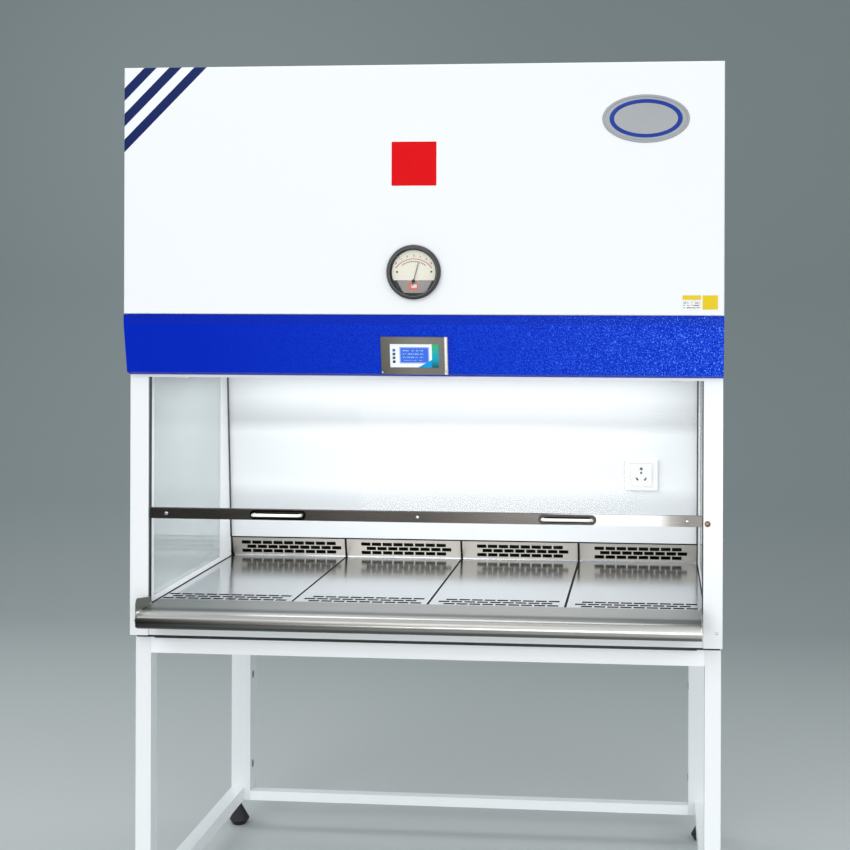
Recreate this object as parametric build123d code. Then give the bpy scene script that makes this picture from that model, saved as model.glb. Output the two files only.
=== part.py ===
from build123d import *
import os
from math import cos, radians, sin

# Class II biosafety cabinet on its welded stand.
# Millimetres; X to the user's right, Y away from the user, Z up from the floor.

# ---------------------------------------------------------------- driving sizes
WIDTH = 1350.0               # over the hood and the columns' side skins
SHEET = 1.5                  # gauge of the folded sheet steel
SEAT = 0.3                   # gap left between two pieces that seat on each other

COLUMN_FACE_Y = -337.5       # front face of the two columns
CABINET_DEPTH = 760.0        # column face to the back panel's outside
COLUMN_WIDTH = 41.0
COLUMN_DEPTH = 20.0

BASE_Z = 723.0               # underside of the cabinet
PAN_HEIGHT = 65.0            # top of the work trays above the cabinet's underside
ARMREST_RISE = 5.0           # armrest's flat above the trays
FASCIA_BOTTOM_Z = 1328.0
FASCIA_HEIGHT = 110.0        # leaning part of the fascia
FASCIA_BAND = 21.5           # upright band above the leaning part
HOOD_TOP_Z = 2016.5
HOOD_OVERHANG = 40.0         # hood front ahead of the column face
FASCIA_LEAN = 20.0           # fascia bottom behind its top
PANEL_RETURN = 20.0          # depth of the folds round the front panel
PANEL_GAP = 1.0              # shut line round the front panel
FASCIA_END_Z = 17.0          # side skins start this far above the fascia's bottom
EDGE_RADIUS = 3.0            # bend radius seen on the hood's edges

STAND_GAP = 12.0             # stand to cabinet, filled by the rubber strips
STAND_SETBACK = 31.0         # stand legs behind the column face
STAND_BACK_INSET = 2.0       # rear legs ahead of the back panel's outside
FRAME_TUBE = 36.0            # square tube of the front legs and rails
REAR_TUBE = 54.0             # square tube of the rear legs
REAR_RAIL = 26.0             # square tube of the low rear rail
TUBE_WALL = 2.0
LEG_BOTTOM_Z = 73.0

FOOT_RADIUS = 27.5
FOOT_FACE_RADIUS = 19.0      # flat under the rubber foot
FOOT_SHOULDER_Z = 14.0
FOOT_NECK_RADIUS = 8.0
FOOT_NECK_Z = 50.0           # top of the rubber cone
STUD_RADIUS = 6.0
STUD_TOP_Z = 118.0
LOCKNUT_HEIGHT = 7.0
LOCKNUT_RADIUS = 10.0
RUNNING_FIT = 0.08           # radial clearance of a turning or sliding fit

WALL_DEPTH = 35.0            # outer skin to the work chamber's side liner
WINDOW_LIP = 8.0             # lip that holds the side glass
WINDOW_FRONT = 32.0          # strips of wall seen round the side glass
WINDOW_REAR = 52.5
REVEAL_REAR = 42.0           # outer opening wider than the pane at the rear
WINDOW_BOTTOM = 12.0
WINDOW_TOP = 22.0
SIDE_GLASS = 5.0
CHAMBER_TOP_RISE = 8.0       # diffuser's underside above the fascia's bottom

BACK_WALL_RISE = 55.0        # back wall's foot above the trays
BACK_WALL_BOTTOM = 596.0     # back wall's foot behind the column face
BACK_WALL_TOP = 562.0        # back wall's head behind the column face

TRAY_COUNT = 4
TRAY_GAP = 2.0               # seam between two trays
TRAY_REAR = 613.0            # rear edge of the trays behind the column face
TRAY_LIP = 10.0
TRAY_FLANGE = 51.0           # rear flange above the tray
TRAY_FLANGE_LEAN = 13.0
SLOT_LENGTH = 24.0
SLOT_HEIGHT = 8.0
SLOT_PITCH = 29.8
SLOT_ROWS = 3
REAR_ROW_PITCH = 12.5
FRONT_ROW_PITCH = 21.0
FRONT_SLOT_PITCH = 30.2
FRONT_SLOT_INSET = 28.5      # last front slot's centre inside the tray's right edge
FRONT_SLOTS_Y = 115.5        # middle front row behind the column face
REAR_COLUMNS = (9, 8, 8, 8)  # slots in a row of each tray's rear flange
FRONT_COLUMNS = (10, 9, 9, 9)

ARMREST_REACH = 85.0         # armrest's nose ahead of the column face
ARMREST_REAR = 62.0          # armrest's rear edge behind the column face
ARMREST_CLEARANCE = 5.0      # armrest end to column
NOSE_RADIUS = 18.5
CHEEK_RISE = 34.0            # end cheek above the armrest's flat, at its front
CHEEK_REAR_RISE = 19.0
CHEEK_RADIUS = 10.0
SILL_SETBACK = 5.0

SASH_SETBACK = 3.0           # front of the sash bar behind the column face
SASH_GLASS = 5.0
SASH_GLASS_HEIGHT = 560.0
BAR_RISE = 203.0             # sash bar above the trays, as left standing
BAR_HEIGHT = 24.0
BAR_DEPTH = 13.0
BAR_SEAT = 3.0               # bar's floor under the glass
GUIDE_LIP = 2.5              # guide lips proud of the column's inside
GUIDE_WALL = 1.5
GUIDE_PLAY = 0.7             # glass to guide, each face
GUIDE_DEPTH = 10.0           # glass edge inside the guide
HANDLE_LENGTH = 130.0
HANDLE_INSET = 302.5         # handle's middle inside the column
HANDLE_HEIGHT = 22.0         # stadium-shaped foot plate
HANDLE_PLATE = 2.0
HANDLE_ROD = 4.5             # radius of the handle's rod
HANDLE_REACH = 20.0

PULLEY_RADIUS = 20.0         # to the cable's centre line
PULLEY_RIM = 24.0
PULLEY_WIDTH = 12.0
CABLE_RADIUS = 1.0
CABLE_INSET = 76.5           # cables inside the column
SHAFT_RADIUS = 6.0
SHAFT_DROP = 37.0            # cross shaft below the roof
WEIGHT_SIZE = (156.0, 50.0, 110.0)
WEIGHT_DROP = 224.0          # top of the weights below the cross shaft

FILTER_FRONT = 88.0          # filter boxes behind the column face
FILTER_DEPTH = 455.0
SUPPLY_INSET = 30.0          # supply filter inside the side liner
SUPPLY_GAP = 9.0             # supply filter above the diffuser
SUPPLY_HEIGHT = 80.0
PLENUM_INSET = 100.0         # plenum inside the side liner
EXHAUST_HEIGHT = 85.0        # plenum's top below the roof
HINGE_PIN = 1.5              # radius of the panel hinge's pin
HINGE_KNUCKLE = 3.0
HINGE_KNUCKLES = 3
EXHAUST_HALF_X = 300.0
EXHAUST_DEPTH = 350.0
FILTER_FRAME = 20.0

FAN_X = 0.0
FAN_FILL = 0.83              # scroll housing's height as a share of the plenum's
FAN_BLADES = 12
FAN_GAP = 15.0               # fan wheel to the scroll's narrowest point
FAN_HUB = 16.0
FAN_HUB_LENGTH = 28.0
FAN_DISC = 3.0               # thickness of the fan wheel's disc and ring
SCROLL_DEPTH = 145.0
MOTOR_RADIUS = 55.0
MOTOR_LENGTH = 84.0

GAUGE_X = -10.0
GAUGE_RISE = 95.2            # gauge's centre above the seam
GAUGE_RADIUS = 60.5          # bezel
GAUGE_BODY_RADIUS = 56.0
GAUGE_BODY_DEPTH = 36.0
GAUGE_PROUD = 14.0
GAUGE_WINDOW = 52.0
DIAL_RADIUS = 49.0
DIAL_CUT = 18.0              # dial's straight lower edge below the centre
POINTER_PIVOT = 20.0         # pivot below the gauge's centre
POINTER_LENGTH = 42.0
POINTER_REST = 15.0          # degrees to the right of upright

DISPLAY_X = -10.5
DISPLAY_RISE = 41.0          # display's centre above the fascia's bottom
BEZEL_SIZE = (152.0, 86.0)
BEZEL_THICK = 3.0
OVERLAY_SIZE = (110.0, 53.0)
OVERLAY_THICK = 2.4
DISPLAY_BOX = (98.0, 44.0, 14.0)
KEY_SIZE = 5.5
KEY_THICK = 1.6
KEY_GAP = 0.3
KEY_TRAVEL = 0.4
KEY_PITCH = 8.7
KEY_COUNT = 4
KEY_X = -46.0                # keys left of the display's centre
KEY_TOP = 12.5               # first key above the display's centre

SOCKET_INSET = 151.5         # socket's centre inside the side liner
SOCKET_RISE = 241.4          # socket's centre above the trays
SOCKET_PLATE = (92.0, 86.0, 8.0)
SOCKET_MODULE = (59.0, 61.0, 1.5)
SOCKET_CORNER = 5.0
SOCKET_BOX = 46.0            # wall box behind the socket plate
SOCKET_BOX_DEPTH = 35.0
SOCKET_BEVEL = 2.5

PAD_SIZE = 30.0
LAMP_RADIUS = 8.0
LAMP_INSET = 80.0            # lamp's end inside the side liner
LAMP_SETBACK = 34.0          # lamp behind the sash glass
LAMP_BATTEN = 24.0
CONTROL_BOX_DEPTH = 200.0
CONTROL_BOX_HEIGHT = 55.0
CONTROL_BOX_SETBACK = 30.0
DIFFUSER_GRID = (8, 5)       # diffuser slots across and along
DIFFUSER_SLOT = (120.0, 10.0)

# ---------------------------------------------------------------- derived places
HALF = WIDTH / 2
STAND_TOP_Z = BASE_Z - STAND_GAP
TRAY_Z = BASE_Z + PAN_HEIGHT
ARMREST_Z = TRAY_Z + ARMREST_RISE
FASCIA_FOLD_Z = FASCIA_BOTTOM_Z + FASCIA_HEIGHT
SEAM_Z = FASCIA_FOLD_Z + FASCIA_BAND
CHAMBER_TOP_Z = FASCIA_BOTTOM_Z + CHAMBER_TOP_RISE
BACK_WALL_BOTTOM_Z = TRAY_Z + BACK_WALL_RISE
TRAY_FLANGE_Z = TRAY_Z + TRAY_FLANGE
BAR_Z = TRAY_Z + BAR_RISE
WALL_INNER_X = HALF - WALL_DEPTH
HOOD_Y = COLUMN_FACE_Y - HOOD_OVERHANG
BACK_Y = COLUMN_FACE_Y + CABINET_DEPTH
COLUMN_OUTER = HALF - SHEET
COLUMN_INNER = COLUMN_OUTER - COLUMN_WIDTH
COLUMN_BACK_Y = COLUMN_FACE_Y + COLUMN_DEPTH
STAND_HALF = COLUMN_OUTER
HANDLE_X = COLUMN_INNER - HANDLE_INSET
CABLE_X = COLUMN_INNER - CABLE_INSET
SUPPLY_HALF_X = WALL_INNER_X - SUPPLY_INSET
PLENUM_HALF_X = WALL_INNER_X - PLENUM_INSET
LAMP_HALF = WALL_INNER_X - LAMP_INSET
LEG_FRONT_Y = COLUMN_FACE_Y + STAND_SETBACK
LEG_REAR_Y = BACK_Y - STAND_BACK_INSET - REAR_TUBE
FOOT_X = STAND_HALF - FRAME_TUBE / 2
FOOT_FRONT_Y = LEG_FRONT_Y + FRAME_TUBE / 2
FOOT_REAR_Y = LEG_REAR_Y + FRAME_TUBE / 2
GLASS_FRONT_Y = COLUMN_FACE_Y + SASH_SETBACK + 4.0
GLASS_BACK_Y = GLASS_FRONT_Y + SASH_GLASS
GLASS_Y = (GLASS_FRONT_Y + GLASS_BACK_Y) / 2
GUIDE_INNER_X = COLUMN_INNER - GUIDE_LIP
GUIDE_WEB_X = GUIDE_INNER_X + GUIDE_DEPTH
SASH_HALF = GUIDE_INNER_X - 0.5
GLASS_HALF = GUIDE_WEB_X - 1.0
GLASS_BOTTOM_Z = BAR_Z + BAR_SEAT
GLASS_TOP_Z = GLASS_BOTTOM_Z + SASH_GLASS_HEIGHT
PAN_TOP_Z = TRAY_Z - TRAY_LIP
CHAMBER_FRONT_Y = COLUMN_BACK_Y + SEAT
BACK_WALL_FOOT_Y = COLUMN_FACE_Y + BACK_WALL_BOTTOM
BACK_WALL_HEAD_Y = COLUMN_FACE_Y + BACK_WALL_TOP
TRAY_FRONT_Y = COLUMN_FACE_Y + ARMREST_REAR + 1.0
TRAY_REAR_Y = COLUMN_FACE_Y + TRAY_REAR
TRAY_PITCH = 2 * WALL_INNER_X / TRAY_COUNT
FILTER_Y0 = COLUMN_FACE_Y + FILTER_FRONT
FILTER_Y1 = FILTER_Y0 + FILTER_DEPTH
SHAFT_Y = GLASS_Y + PULLEY_RADIUS
ROOF_Z = HOOD_TOP_Z - SHEET
SHAFT_Z = ROOF_Z - SHAFT_DROP
WEIGHT_TOP_Z = SHAFT_Z - WEIGHT_DROP
SUPPLY_Z = CHAMBER_TOP_Z + SUPPLY_GAP
PLENUM_LOW_Z = SUPPLY_Z + SUPPLY_HEIGHT + SEAT
PLENUM_TOP_Z = ROOF_Z - EXHAUST_HEIGHT
FAN_Z = (PLENUM_LOW_Z + PLENUM_TOP_Z) / 2
SCROLL_END = FAN_FILL * (PLENUM_TOP_Z - PLENUM_LOW_Z) / 2
SCROLL_START = 0.64 * SCROLL_END
SCROLL_GROWTH = SCROLL_END - SCROLL_START
FAN_RADIUS = SCROLL_START - FAN_GAP
FAN_INLET = 0.8 * FAN_RADIUS
GAUGE_Z = SEAM_Z + GAUGE_RISE
DISPLAY_Z = FASCIA_BOTTOM_Z + DISPLAY_RISE
SOCKET_X = WALL_INNER_X - SOCKET_INSET
SOCKET_Z = TRAY_Z + SOCKET_RISE
HOOD_LOW_Z = FASCIA_BOTTOM_Z - 6.5
PIN_Y = HOOD_Y + PANEL_RETURN + HINGE_KNUCKLE
PIN_Z = HOOD_TOP_Z - HINGE_KNUCKLE
ROOF_FRONT_Y = PIN_Y + HINGE_KNUCKLE + 0.5
HOUSING_Y1 = FILTER_Y1 - SHEET - SEAT
HOUSING_Y0 = HOUSING_Y1 - SCROLL_DEPTH


# ---------------------------------------------------------------- small helpers
def block(x0, x1, y0, y1, z0, z1):
    """Box between two corners."""
    return Pos((x0 + x1) / 2, (y0 + y1) / 2, (z0 + z1) / 2) * Box(x1 - x0, y1 - y0, z1 - z0)


def x_prism(points, x0, x1):
    """Outline given as (y, z) points, drawn out along X."""
    plane = Plane(origin=(x0, 0, 0), x_dir=(0, 1, 0), z_dir=(1, 0, 0))
    return extrude(plane * make_face(Polyline(*points, close=True)), x1 - x0)


def x_rod(radius, x0, x1, y, z):
    """Round bar along X."""
    return Pos((x0 + x1) / 2, y, z) * Rot(0, 90, 0) * Cylinder(radius, x1 - x0)


def y_rod(radius, y0, y1, x, z):
    """Round bar along Y."""
    return Pos(x, (y0 + y1) / 2, z) * Rot(90, 0, 0) * Cylinder(radius, y1 - y0)


def z_rod(radius, z0, z1, x, y):
    """Round bar along Z."""
    return Pos(x, y, (z0 + z1) / 2) * Cylinder(radius, z1 - z0)


def mirrored(shape):
    """The same piece on the other side of the cabinet."""
    return mirror(shape, about=Plane.YZ)


def both_sides(shape):
    """A piece and its mirror image, as two solids."""
    return Compound(children=[*shape.solids(), *mirrored(shape).solids()])


def group(*shapes):
    """Several separate solids kept in one node."""
    return Compound(children=[solid for shape in shapes for solid in shape.solids()])


def save(name, shape):
    """Write one node."""
    shape.label = name
    export_step(shape, os.path.join("parts", name + ".step"))


# ---------------------------------------------------------------- stand
def tube_along(axis, x0, x1, y0, y1, z0, z1):
    """Square tube, open at both ends of the named axis."""
    w = TUBE_WALL
    inner = {
        "x": (x0 - w, x1 + w, y0 + w, y1 - w, z0 + w, z1 - w),
        "y": (x0 + w, x1 - w, y0 - w, y1 + w, z0 + w, z1 - w),
        "z": (x0 + w, x1 - w, y0 + w, y1 - w, z0 - w, z1 + w),
    }[axis]
    return block(x0, x1, y0, y1, z0, z1) - block(*inner)


def leg(size, y0, foot_y):
    """Right-hand leg: tube, top plate, and a foot plate with the foot's weld nut."""
    x0, x1 = STAND_HALF - size, STAND_HALF
    tube = tube_along("z", x0, x1, y0, y0 + size, LEG_BOTTOM_Z, STAND_TOP_Z)
    top = block(x0, x1, y0, y0 + size, STAND_TOP_Z - TUBE_WALL, STAND_TOP_Z)
    plate = block(x0, x1, y0, y0 + size, LEG_BOTTOM_Z, LEG_BOTTOM_Z + 2 * TUBE_WALL)
    nut = extrude(Pos(FOOT_X, foot_y, LEG_BOTTOM_Z - LOCKNUT_HEIGHT)
                  * RegularPolygon(LOCKNUT_RADIUS, 6), LOCKNUT_HEIGHT)
    bore = z_rod(STUD_RADIUS + RUNNING_FIT, LEG_BOTTOM_Z - 2 * LOCKNUT_HEIGHT,
                 LEG_BOTTOM_Z + 4 * TUBE_WALL, FOOT_X, foot_y)
    return tube + top + plate + nut - bore


def levelling_foot(x, y):
    """Rubber cone foot on its threaded stud, one moulding."""
    outline = Polyline((0, 0), (FOOT_FACE_RADIUS, 0), (FOOT_RADIUS, FOOT_SHOULDER_Z),
                       (FOOT_NECK_RADIUS, FOOT_NECK_Z), (STUD_RADIUS, FOOT_NECK_Z),
                       (STUD_RADIUS, STUD_TOP_Z), (0, STUD_TOP_Z), close=True)
    return Pos(x, y, 0) * revolve(Plane.XZ * make_face(outline), Axis.Z)


def stand_top_frame():
    """Four rails under the cabinet, butted between the legs."""
    z0, z1 = STAND_TOP_Z - FRAME_TUBE, STAND_TOP_Z
    x_front = STAND_HALF - FRAME_TUBE - SEAT
    x_rear = STAND_HALF - REAR_TUBE - SEAT
    rear_y = LEG_REAR_Y + REAR_TUBE
    front = tube_along("x", -x_front, x_front, LEG_FRONT_Y, LEG_FRONT_Y + FRAME_TUBE, z0, z1)
    rear = tube_along("x", -x_rear, x_rear, rear_y - FRAME_TUBE, rear_y, z0, z1)
    side = tube_along("y", STAND_HALF - FRAME_TUBE, STAND_HALF,
                      LEG_FRONT_Y + FRAME_TUBE + SEAT, LEG_REAR_Y - SEAT, z0, z1)
    return group(front, rear, side, mirrored(side))


def stand_low_rails():
    """Two side rails and the thin rear rail near the floor."""
    x_rear = STAND_HALF - REAR_TUBE - SEAT
    side = tube_along("y", STAND_HALF - FRAME_TUBE, STAND_HALF,
                      LEG_FRONT_Y + FRAME_TUBE + SEAT, LEG_REAR_Y - SEAT,
                      LEG_BOTTOM_Z, LEG_BOTTOM_Z + FRAME_TUBE)
    rear = tube_along("x", -x_rear, x_rear, LEG_REAR_Y, LEG_REAR_Y + REAR_RAIL,
                      LEG_BOTTOM_Z, LEG_BOTTOM_Z + REAR_RAIL)
    return group(side, mirrored(side), rear)


def isolation_pads():
    """Rubber strips along the front and rear rails, which carry the cabinet."""
    reach = STAND_HALF - TUBE_WALL
    return group(*[block(-reach, reach, y + TUBE_WALL, y + TUBE_WALL + PAD_SIZE, STAND_TOP_Z, BASE_Z)
                   for y in (LEG_FRONT_Y, LEG_REAR_Y + REAR_TUBE - FRAME_TUBE)])


# ---------------------------------------------------------------- cabinet body
def pan_footprint(inset, z0, z1):
    """Base pan's outline, narrower between the columns, shrunk by inset."""
    front_x = COLUMN_INNER - SEAT - inset
    rear_x = COLUMN_OUTER - SEAT - inset
    sill_y = COLUMN_FACE_Y + SILL_SETBACK + inset
    step_y = COLUMN_BACK_Y + SEAT + inset
    back_y = BACK_Y - SHEET - SEAT - inset
    return block(-front_x, front_x, sill_y, step_y + 1, z0, z1) + block(
        -rear_x, rear_x, step_y, back_y, z0, z1)


def base_pan():
    """Drain pan: floor, walls, inward flange and two angle bearers for the trays."""
    flange = 16.0
    pan = pan_footprint(0, BASE_Z, PAN_TOP_Z) - pan_footprint(SHEET, BASE_Z + SHEET, PAN_TOP_Z + 1)
    rim = pan_footprint(0, PAN_TOP_Z - SHEET, PAN_TOP_Z) - pan_footprint(
        flange, PAN_TOP_Z - 2 * SHEET, PAN_TOP_Z + 1)
    reach = COLUMN_OUTER - SHEET
    seat_x = WALL_INNER_X - 22.0
    pan = pan + rim
    for side in (-1, 1):
        x0, x1 = sorted((side * seat_x, side * reach))
        pan += block(x0, x1, TRAY_FRONT_Y - 20, TRAY_REAR_Y + 8, PAN_TOP_Z - SHEET, PAN_TOP_Z)
    for y in (TRAY_FRONT_Y - 12, TRAY_REAR_Y - 16):
        pan += block(-reach, reach, y, y + 24, PAN_TOP_Z - SHEET, PAN_TOP_Z)
        pan += block(-reach, reach, y, y + SHEET, PAN_TOP_Z - 26, PAN_TOP_Z)
    return pan


def column():
    """Right-hand column: box section with a long slot that holds the sash guide."""
    z1 = ROOF_Z - SHEET - SEAT
    tube = block(COLUMN_INNER, COLUMN_OUTER, COLUMN_FACE_Y, COLUMN_BACK_Y, BASE_Z, z1)
    tube -= block(COLUMN_INNER + SHEET, COLUMN_OUTER - SHEET, COLUMN_FACE_Y + SHEET,
                  COLUMN_BACK_Y - SHEET, BASE_Z + SHEET, z1 - SHEET)
    half = SASH_GLASS / 2 + GUIDE_PLAY + GUIDE_WALL + SEAT
    return tube - block(COLUMN_INNER - 1, COLUMN_INNER + 2 * SHEET, GLASS_Y - half, GLASS_Y + half,
                        ARMREST_Z + 2, z1 - 2 * SHEET)


def sash_guides():
    """Channel liners in the columns; the glass edges run in them."""
    half = SASH_GLASS / 2 + GUIDE_PLAY
    outer = half + GUIDE_WALL
    z0, z1 = ARMREST_Z + 3, ROOF_Z - 6 * SHEET
    liner = block(GUIDE_INNER_X, GUIDE_WEB_X + GUIDE_WALL, GLASS_Y - outer, GLASS_Y + outer, z0, z1)
    liner -= block(GUIDE_INNER_X - 1, GUIDE_WEB_X, GLASS_Y - half, GLASS_Y + half, z0 - 1, z1 + 1)
    return both_sides(liner)


def window_box(grow, x0, x1, rear=0.0):
    """Prism of the side window's outline, grown past the seen glass and more to the rear."""
    y0 = CHAMBER_FRONT_Y + WINDOW_FRONT - grow
    y1 = BACK_WALL_HEAD_Y - WINDOW_REAR + grow + rear
    z0 = TRAY_Z + WINDOW_BOTTOM + 2 - grow
    z1 = CHAMBER_TOP_Z - WINDOW_TOP + grow
    return block(x0, x1, y0, y1, z0, z1)


def side_wall():
    """Right-hand side: outer skin up to the roof, deep window frame, inner liner."""
    skin_x = HALF - SHEET
    skin_y = HOOD_Y + PANEL_RETURN + PANEL_GAP
    low_z = FASCIA_BOTTOM_Z + FASCIA_END_Z
    outline = [(COLUMN_FACE_Y, BASE_Z), (BACK_Y - SHEET - SEAT, BASE_Z),
               (BACK_Y - SHEET - SEAT, ROOF_Z - SEAT), (skin_y, ROOF_Z - SEAT),
               (skin_y, low_z), (COLUMN_FACE_Y, low_z)]
    wall = x_prism(outline, skin_x, HALF)
    reveal = window_box(WINDOW_LIP + SHEET, WALL_INNER_X, HALF, REVEAL_REAR)
    wall = wall + reveal
    liner = x_prism([(CHAMBER_FRONT_Y, TRAY_Z + 2), (BACK_WALL_FOOT_Y, TRAY_Z + 2),
                     (BACK_WALL_HEAD_Y, CHAMBER_TOP_Z - SEAT), (CHAMBER_FRONT_Y, CHAMBER_TOP_Z - SEAT)],
                    WALL_INNER_X, WALL_INNER_X + SHEET)
    foot = block(WALL_INNER_X, skin_x, CHAMBER_FRONT_Y, BACK_WALL_FOOT_Y,
                 TRAY_Z + 2, TRAY_Z + 2 + SHEET)
    wall = wall + liner + foot
    wall -= window_box(WINDOW_LIP, WALL_INNER_X + SHEET, HALF + 1, REVEAL_REAR)
    return wall - window_box(0, WALL_INNER_X - 1, HALF + 1)


def side_glass():
    """Fixed window panes, bonded behind the lips of the side walls."""
    x0 = WALL_INNER_X + SHEET + SEAT
    return both_sides(window_box(WINDOW_LIP - SEAT, x0, x0 + SIDE_GLASS))


def wall_frame():
    """Place on the leaning back wall at the socket, Z out towards the user."""
    rise = CHAMBER_TOP_Z - BACK_WALL_BOTTOM_Z
    run = BACK_WALL_FOOT_Y - BACK_WALL_HEAD_Y
    y = BACK_WALL_FOOT_Y - run * (SOCKET_Z - BACK_WALL_BOTTOM_Z) / rise
    return Plane(origin=(SOCKET_X, y, SOCKET_Z), x_dir=(1, 0, 0), z_dir=(0, -rise, -run))


def inner_back_wall():
    """White liner that leans forward as it rises, with a fold behind the diffuser."""
    z1 = CHAMBER_TOP_Z - SEAT
    t = SHEET
    outline = [(BACK_WALL_FOOT_Y, BACK_WALL_BOTTOM_Z), (BACK_WALL_HEAD_Y, z1),
               (BACK_WALL_HEAD_Y + 14, z1), (BACK_WALL_HEAD_Y + 14, z1 - t),
               (BACK_WALL_HEAD_Y + t, z1 - t), (BACK_WALL_FOOT_Y + t, BACK_WALL_BOTTOM_Z + t),
               (BACK_WALL_FOOT_Y + 12, BACK_WALL_BOTTOM_Z + t), (BACK_WALL_FOOT_Y + 12, BACK_WALL_BOTTOM_Z)]
    half = WALL_INNER_X - 1.0
    wall = x_prism(outline, -half, half)
    box = extrude(wall_frame() * Rectangle(SOCKET_BOX + 4, SOCKET_BOX + 4), 20, both=True)
    return wall - box


def back_panel():
    """Outer back sheet."""
    return block(-HALF, HALF, BACK_Y - SHEET, BACK_Y, BASE_Z, ROOF_Z - SEAT)


def roof_panel():
    """Top sheet with the slotted exhaust guard over the exhaust filter."""
    roof = block(-HALF, HALF, ROOF_FRONT_Y, BACK_Y, ROOF_Z, HOOD_TOP_Z)
    columns, rows = 8, 5
    pitch_x = 2 * (EXHAUST_HALF_X - FILTER_FRAME) / columns
    pitch_y = (EXHAUST_DEPTH - 2 * FILTER_FRAME) / rows
    slots = Pos(0, FILTER_Y0 + FILTER_FRAME + EXHAUST_DEPTH / 2, HOOD_TOP_Z) * GridLocations(
        pitch_x, pitch_y, columns, rows)
    return roof - [place * Box(pitch_x - 12, pitch_y / 3, 4 * SHEET) for place in slots]


def header_rail():
    """White angle across the column heads, seen as a thin line under the fascia."""
    y1 = COLUMN_FACE_Y - SEAT
    outline = [(y1 - SHEET, HOOD_LOW_Z - 6), (y1, HOOD_LOW_Z - 6), (y1, HOOD_LOW_Z + 24),
               (y1 - SHEET, HOOD_LOW_Z + 24)]
    return x_prism(outline, -COLUMN_OUTER, COLUMN_OUTER)


# ---------------------------------------------------------------- hood
def fascia_profile(inset):
    """Front of the fascia as (y, z) points from seam to header, shrunk by inset."""
    header_y = COLUMN_FACE_Y - SHEET - 2 * SEAT
    return [(HOOD_Y + inset, SEAM_Z - PANEL_GAP / 2 - inset), (HOOD_Y + inset, FASCIA_FOLD_Z),
            (HOOD_Y + FASCIA_LEAN + inset, FASCIA_BOTTOM_Z + inset), (header_y, HOOD_LOW_Z + inset)]


def display_frame():
    """Place on the leaning fascia at the display's centre, Z out towards the user."""
    rise = FASCIA_FOLD_Z - FASCIA_BOTTOM_Z
    y = HOOD_Y + FASCIA_LEAN * (FASCIA_FOLD_Z - DISPLAY_Z) / rise
    return Plane(origin=(DISPLAY_X, y, DISPLAY_Z), x_dir=(1, 0, 0), z_dir=(0, -rise, -FASCIA_LEAN))


def control_fascia():
    """Blue control fascia: upright band, leaning face, bottom return, end plates."""
    rear_y = HOOD_Y + PANEL_RETURN
    end_z = FASCIA_BOTTOM_Z + FASCIA_END_Z - 2 * SEAT
    outside = fascia_profile(0)
    rear = [(outside[-1][0], end_z), (rear_y, end_z), (rear_y, outside[0][1])]
    inside = fascia_profile(SHEET)
    clear_y = COLUMN_FACE_Y + COLUMN_DEPTH
    clear = [(clear_y, inside[-1][1]), (clear_y, inside[0][1])]
    shell = x_prism(outside + rear, -HALF, HALF)
    hollow = x_prism(inside + clear, -HALF + SHEET, HALF - SHEET)
    opening = Rectangle(DISPLAY_BOX[0] + 2 * SEAT, DISPLAY_BOX[1] + 2 * SEAT)
    return shell - hollow - extrude(display_frame() * opening, 10, both=True)


def knuckle(x0, x1, reach_y):
    """Hinge curl round the pin, with a tongue to the sheet that it is rolled from."""
    bore = x_rod(HINGE_PIN + RUNNING_FIT, x0 - 1, x1 + 1, PIN_Y, PIN_Z)
    y0, y1 = sorted((reach_y, PIN_Y))
    return x_rod(HINGE_KNUCKLE, x0, x1, PIN_Y, PIN_Z) + block(x0, x1, y0, y1, ROOF_Z, HOOD_TOP_Z) - bore


def knuckle_spans(moving):
    """Stretches of the hinge line, given in turn to the panel and to the roof leaf."""
    half = HALF - 2 * COLUMN_WIDTH
    span = 2 * half / (2 * HINGE_KNUCKLES - 1)
    first = 0 if moving else 1
    return [(-half + index * span + SEAT, -half + (index + 1) * span - SEAT)
            for index in range(first, 2 * HINGE_KNUCKLES - 1, 2)]


def front_panel():
    """White lift-up service panel, folded on all four edges, holed for the gauge."""
    z0, z1 = SEAM_Z + PANEL_GAP / 2, HOOD_TOP_Z
    rear_y = HOOD_Y + PANEL_RETURN
    shell = block(-HALF, HALF, HOOD_Y, rear_y, z0, z1)
    shell = fillet(shell.faces().sort_by(Axis.Y)[0].edges(), EDGE_RADIUS)
    shell -= block(-HALF + SHEET, HALF - SHEET, HOOD_Y + SHEET, rear_y + 1, z0 + SHEET, z1 - SHEET)
    shell -= y_rod(GAUGE_BODY_RADIUS + SEAT, HOOD_Y - 5, HOOD_Y + 10, GAUGE_X, GAUGE_Z)
    for x0, x1 in knuckle_spans(True):
        shell += knuckle(x0, x1, rear_y - 1)
    return shell


def panel_hinge():
    """Fixed leaf under the roof's front edge, with the pin held in its own curls."""
    spans = knuckle_spans(False)
    ends = knuckle_spans(True)
    leaf = block(spans[0][0], spans[-1][1], PIN_Y + 4 * HINGE_KNUCKLE, PIN_Y + 36, ROOF_Z - SHEET, ROOF_Z)
    leaf += x_rod(HINGE_PIN, ends[0][0], ends[-1][1], PIN_Y, PIN_Z)
    for x0, x1 in spans:
        leaf += x_rod(HINGE_KNUCKLE, x0, x1, PIN_Y, PIN_Z)
        leaf += block(x0, x1, PIN_Y, PIN_Y + 4 * HINGE_KNUCKLE, ROOF_Z - SHEET, ROOF_Z)
    return leaf


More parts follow.
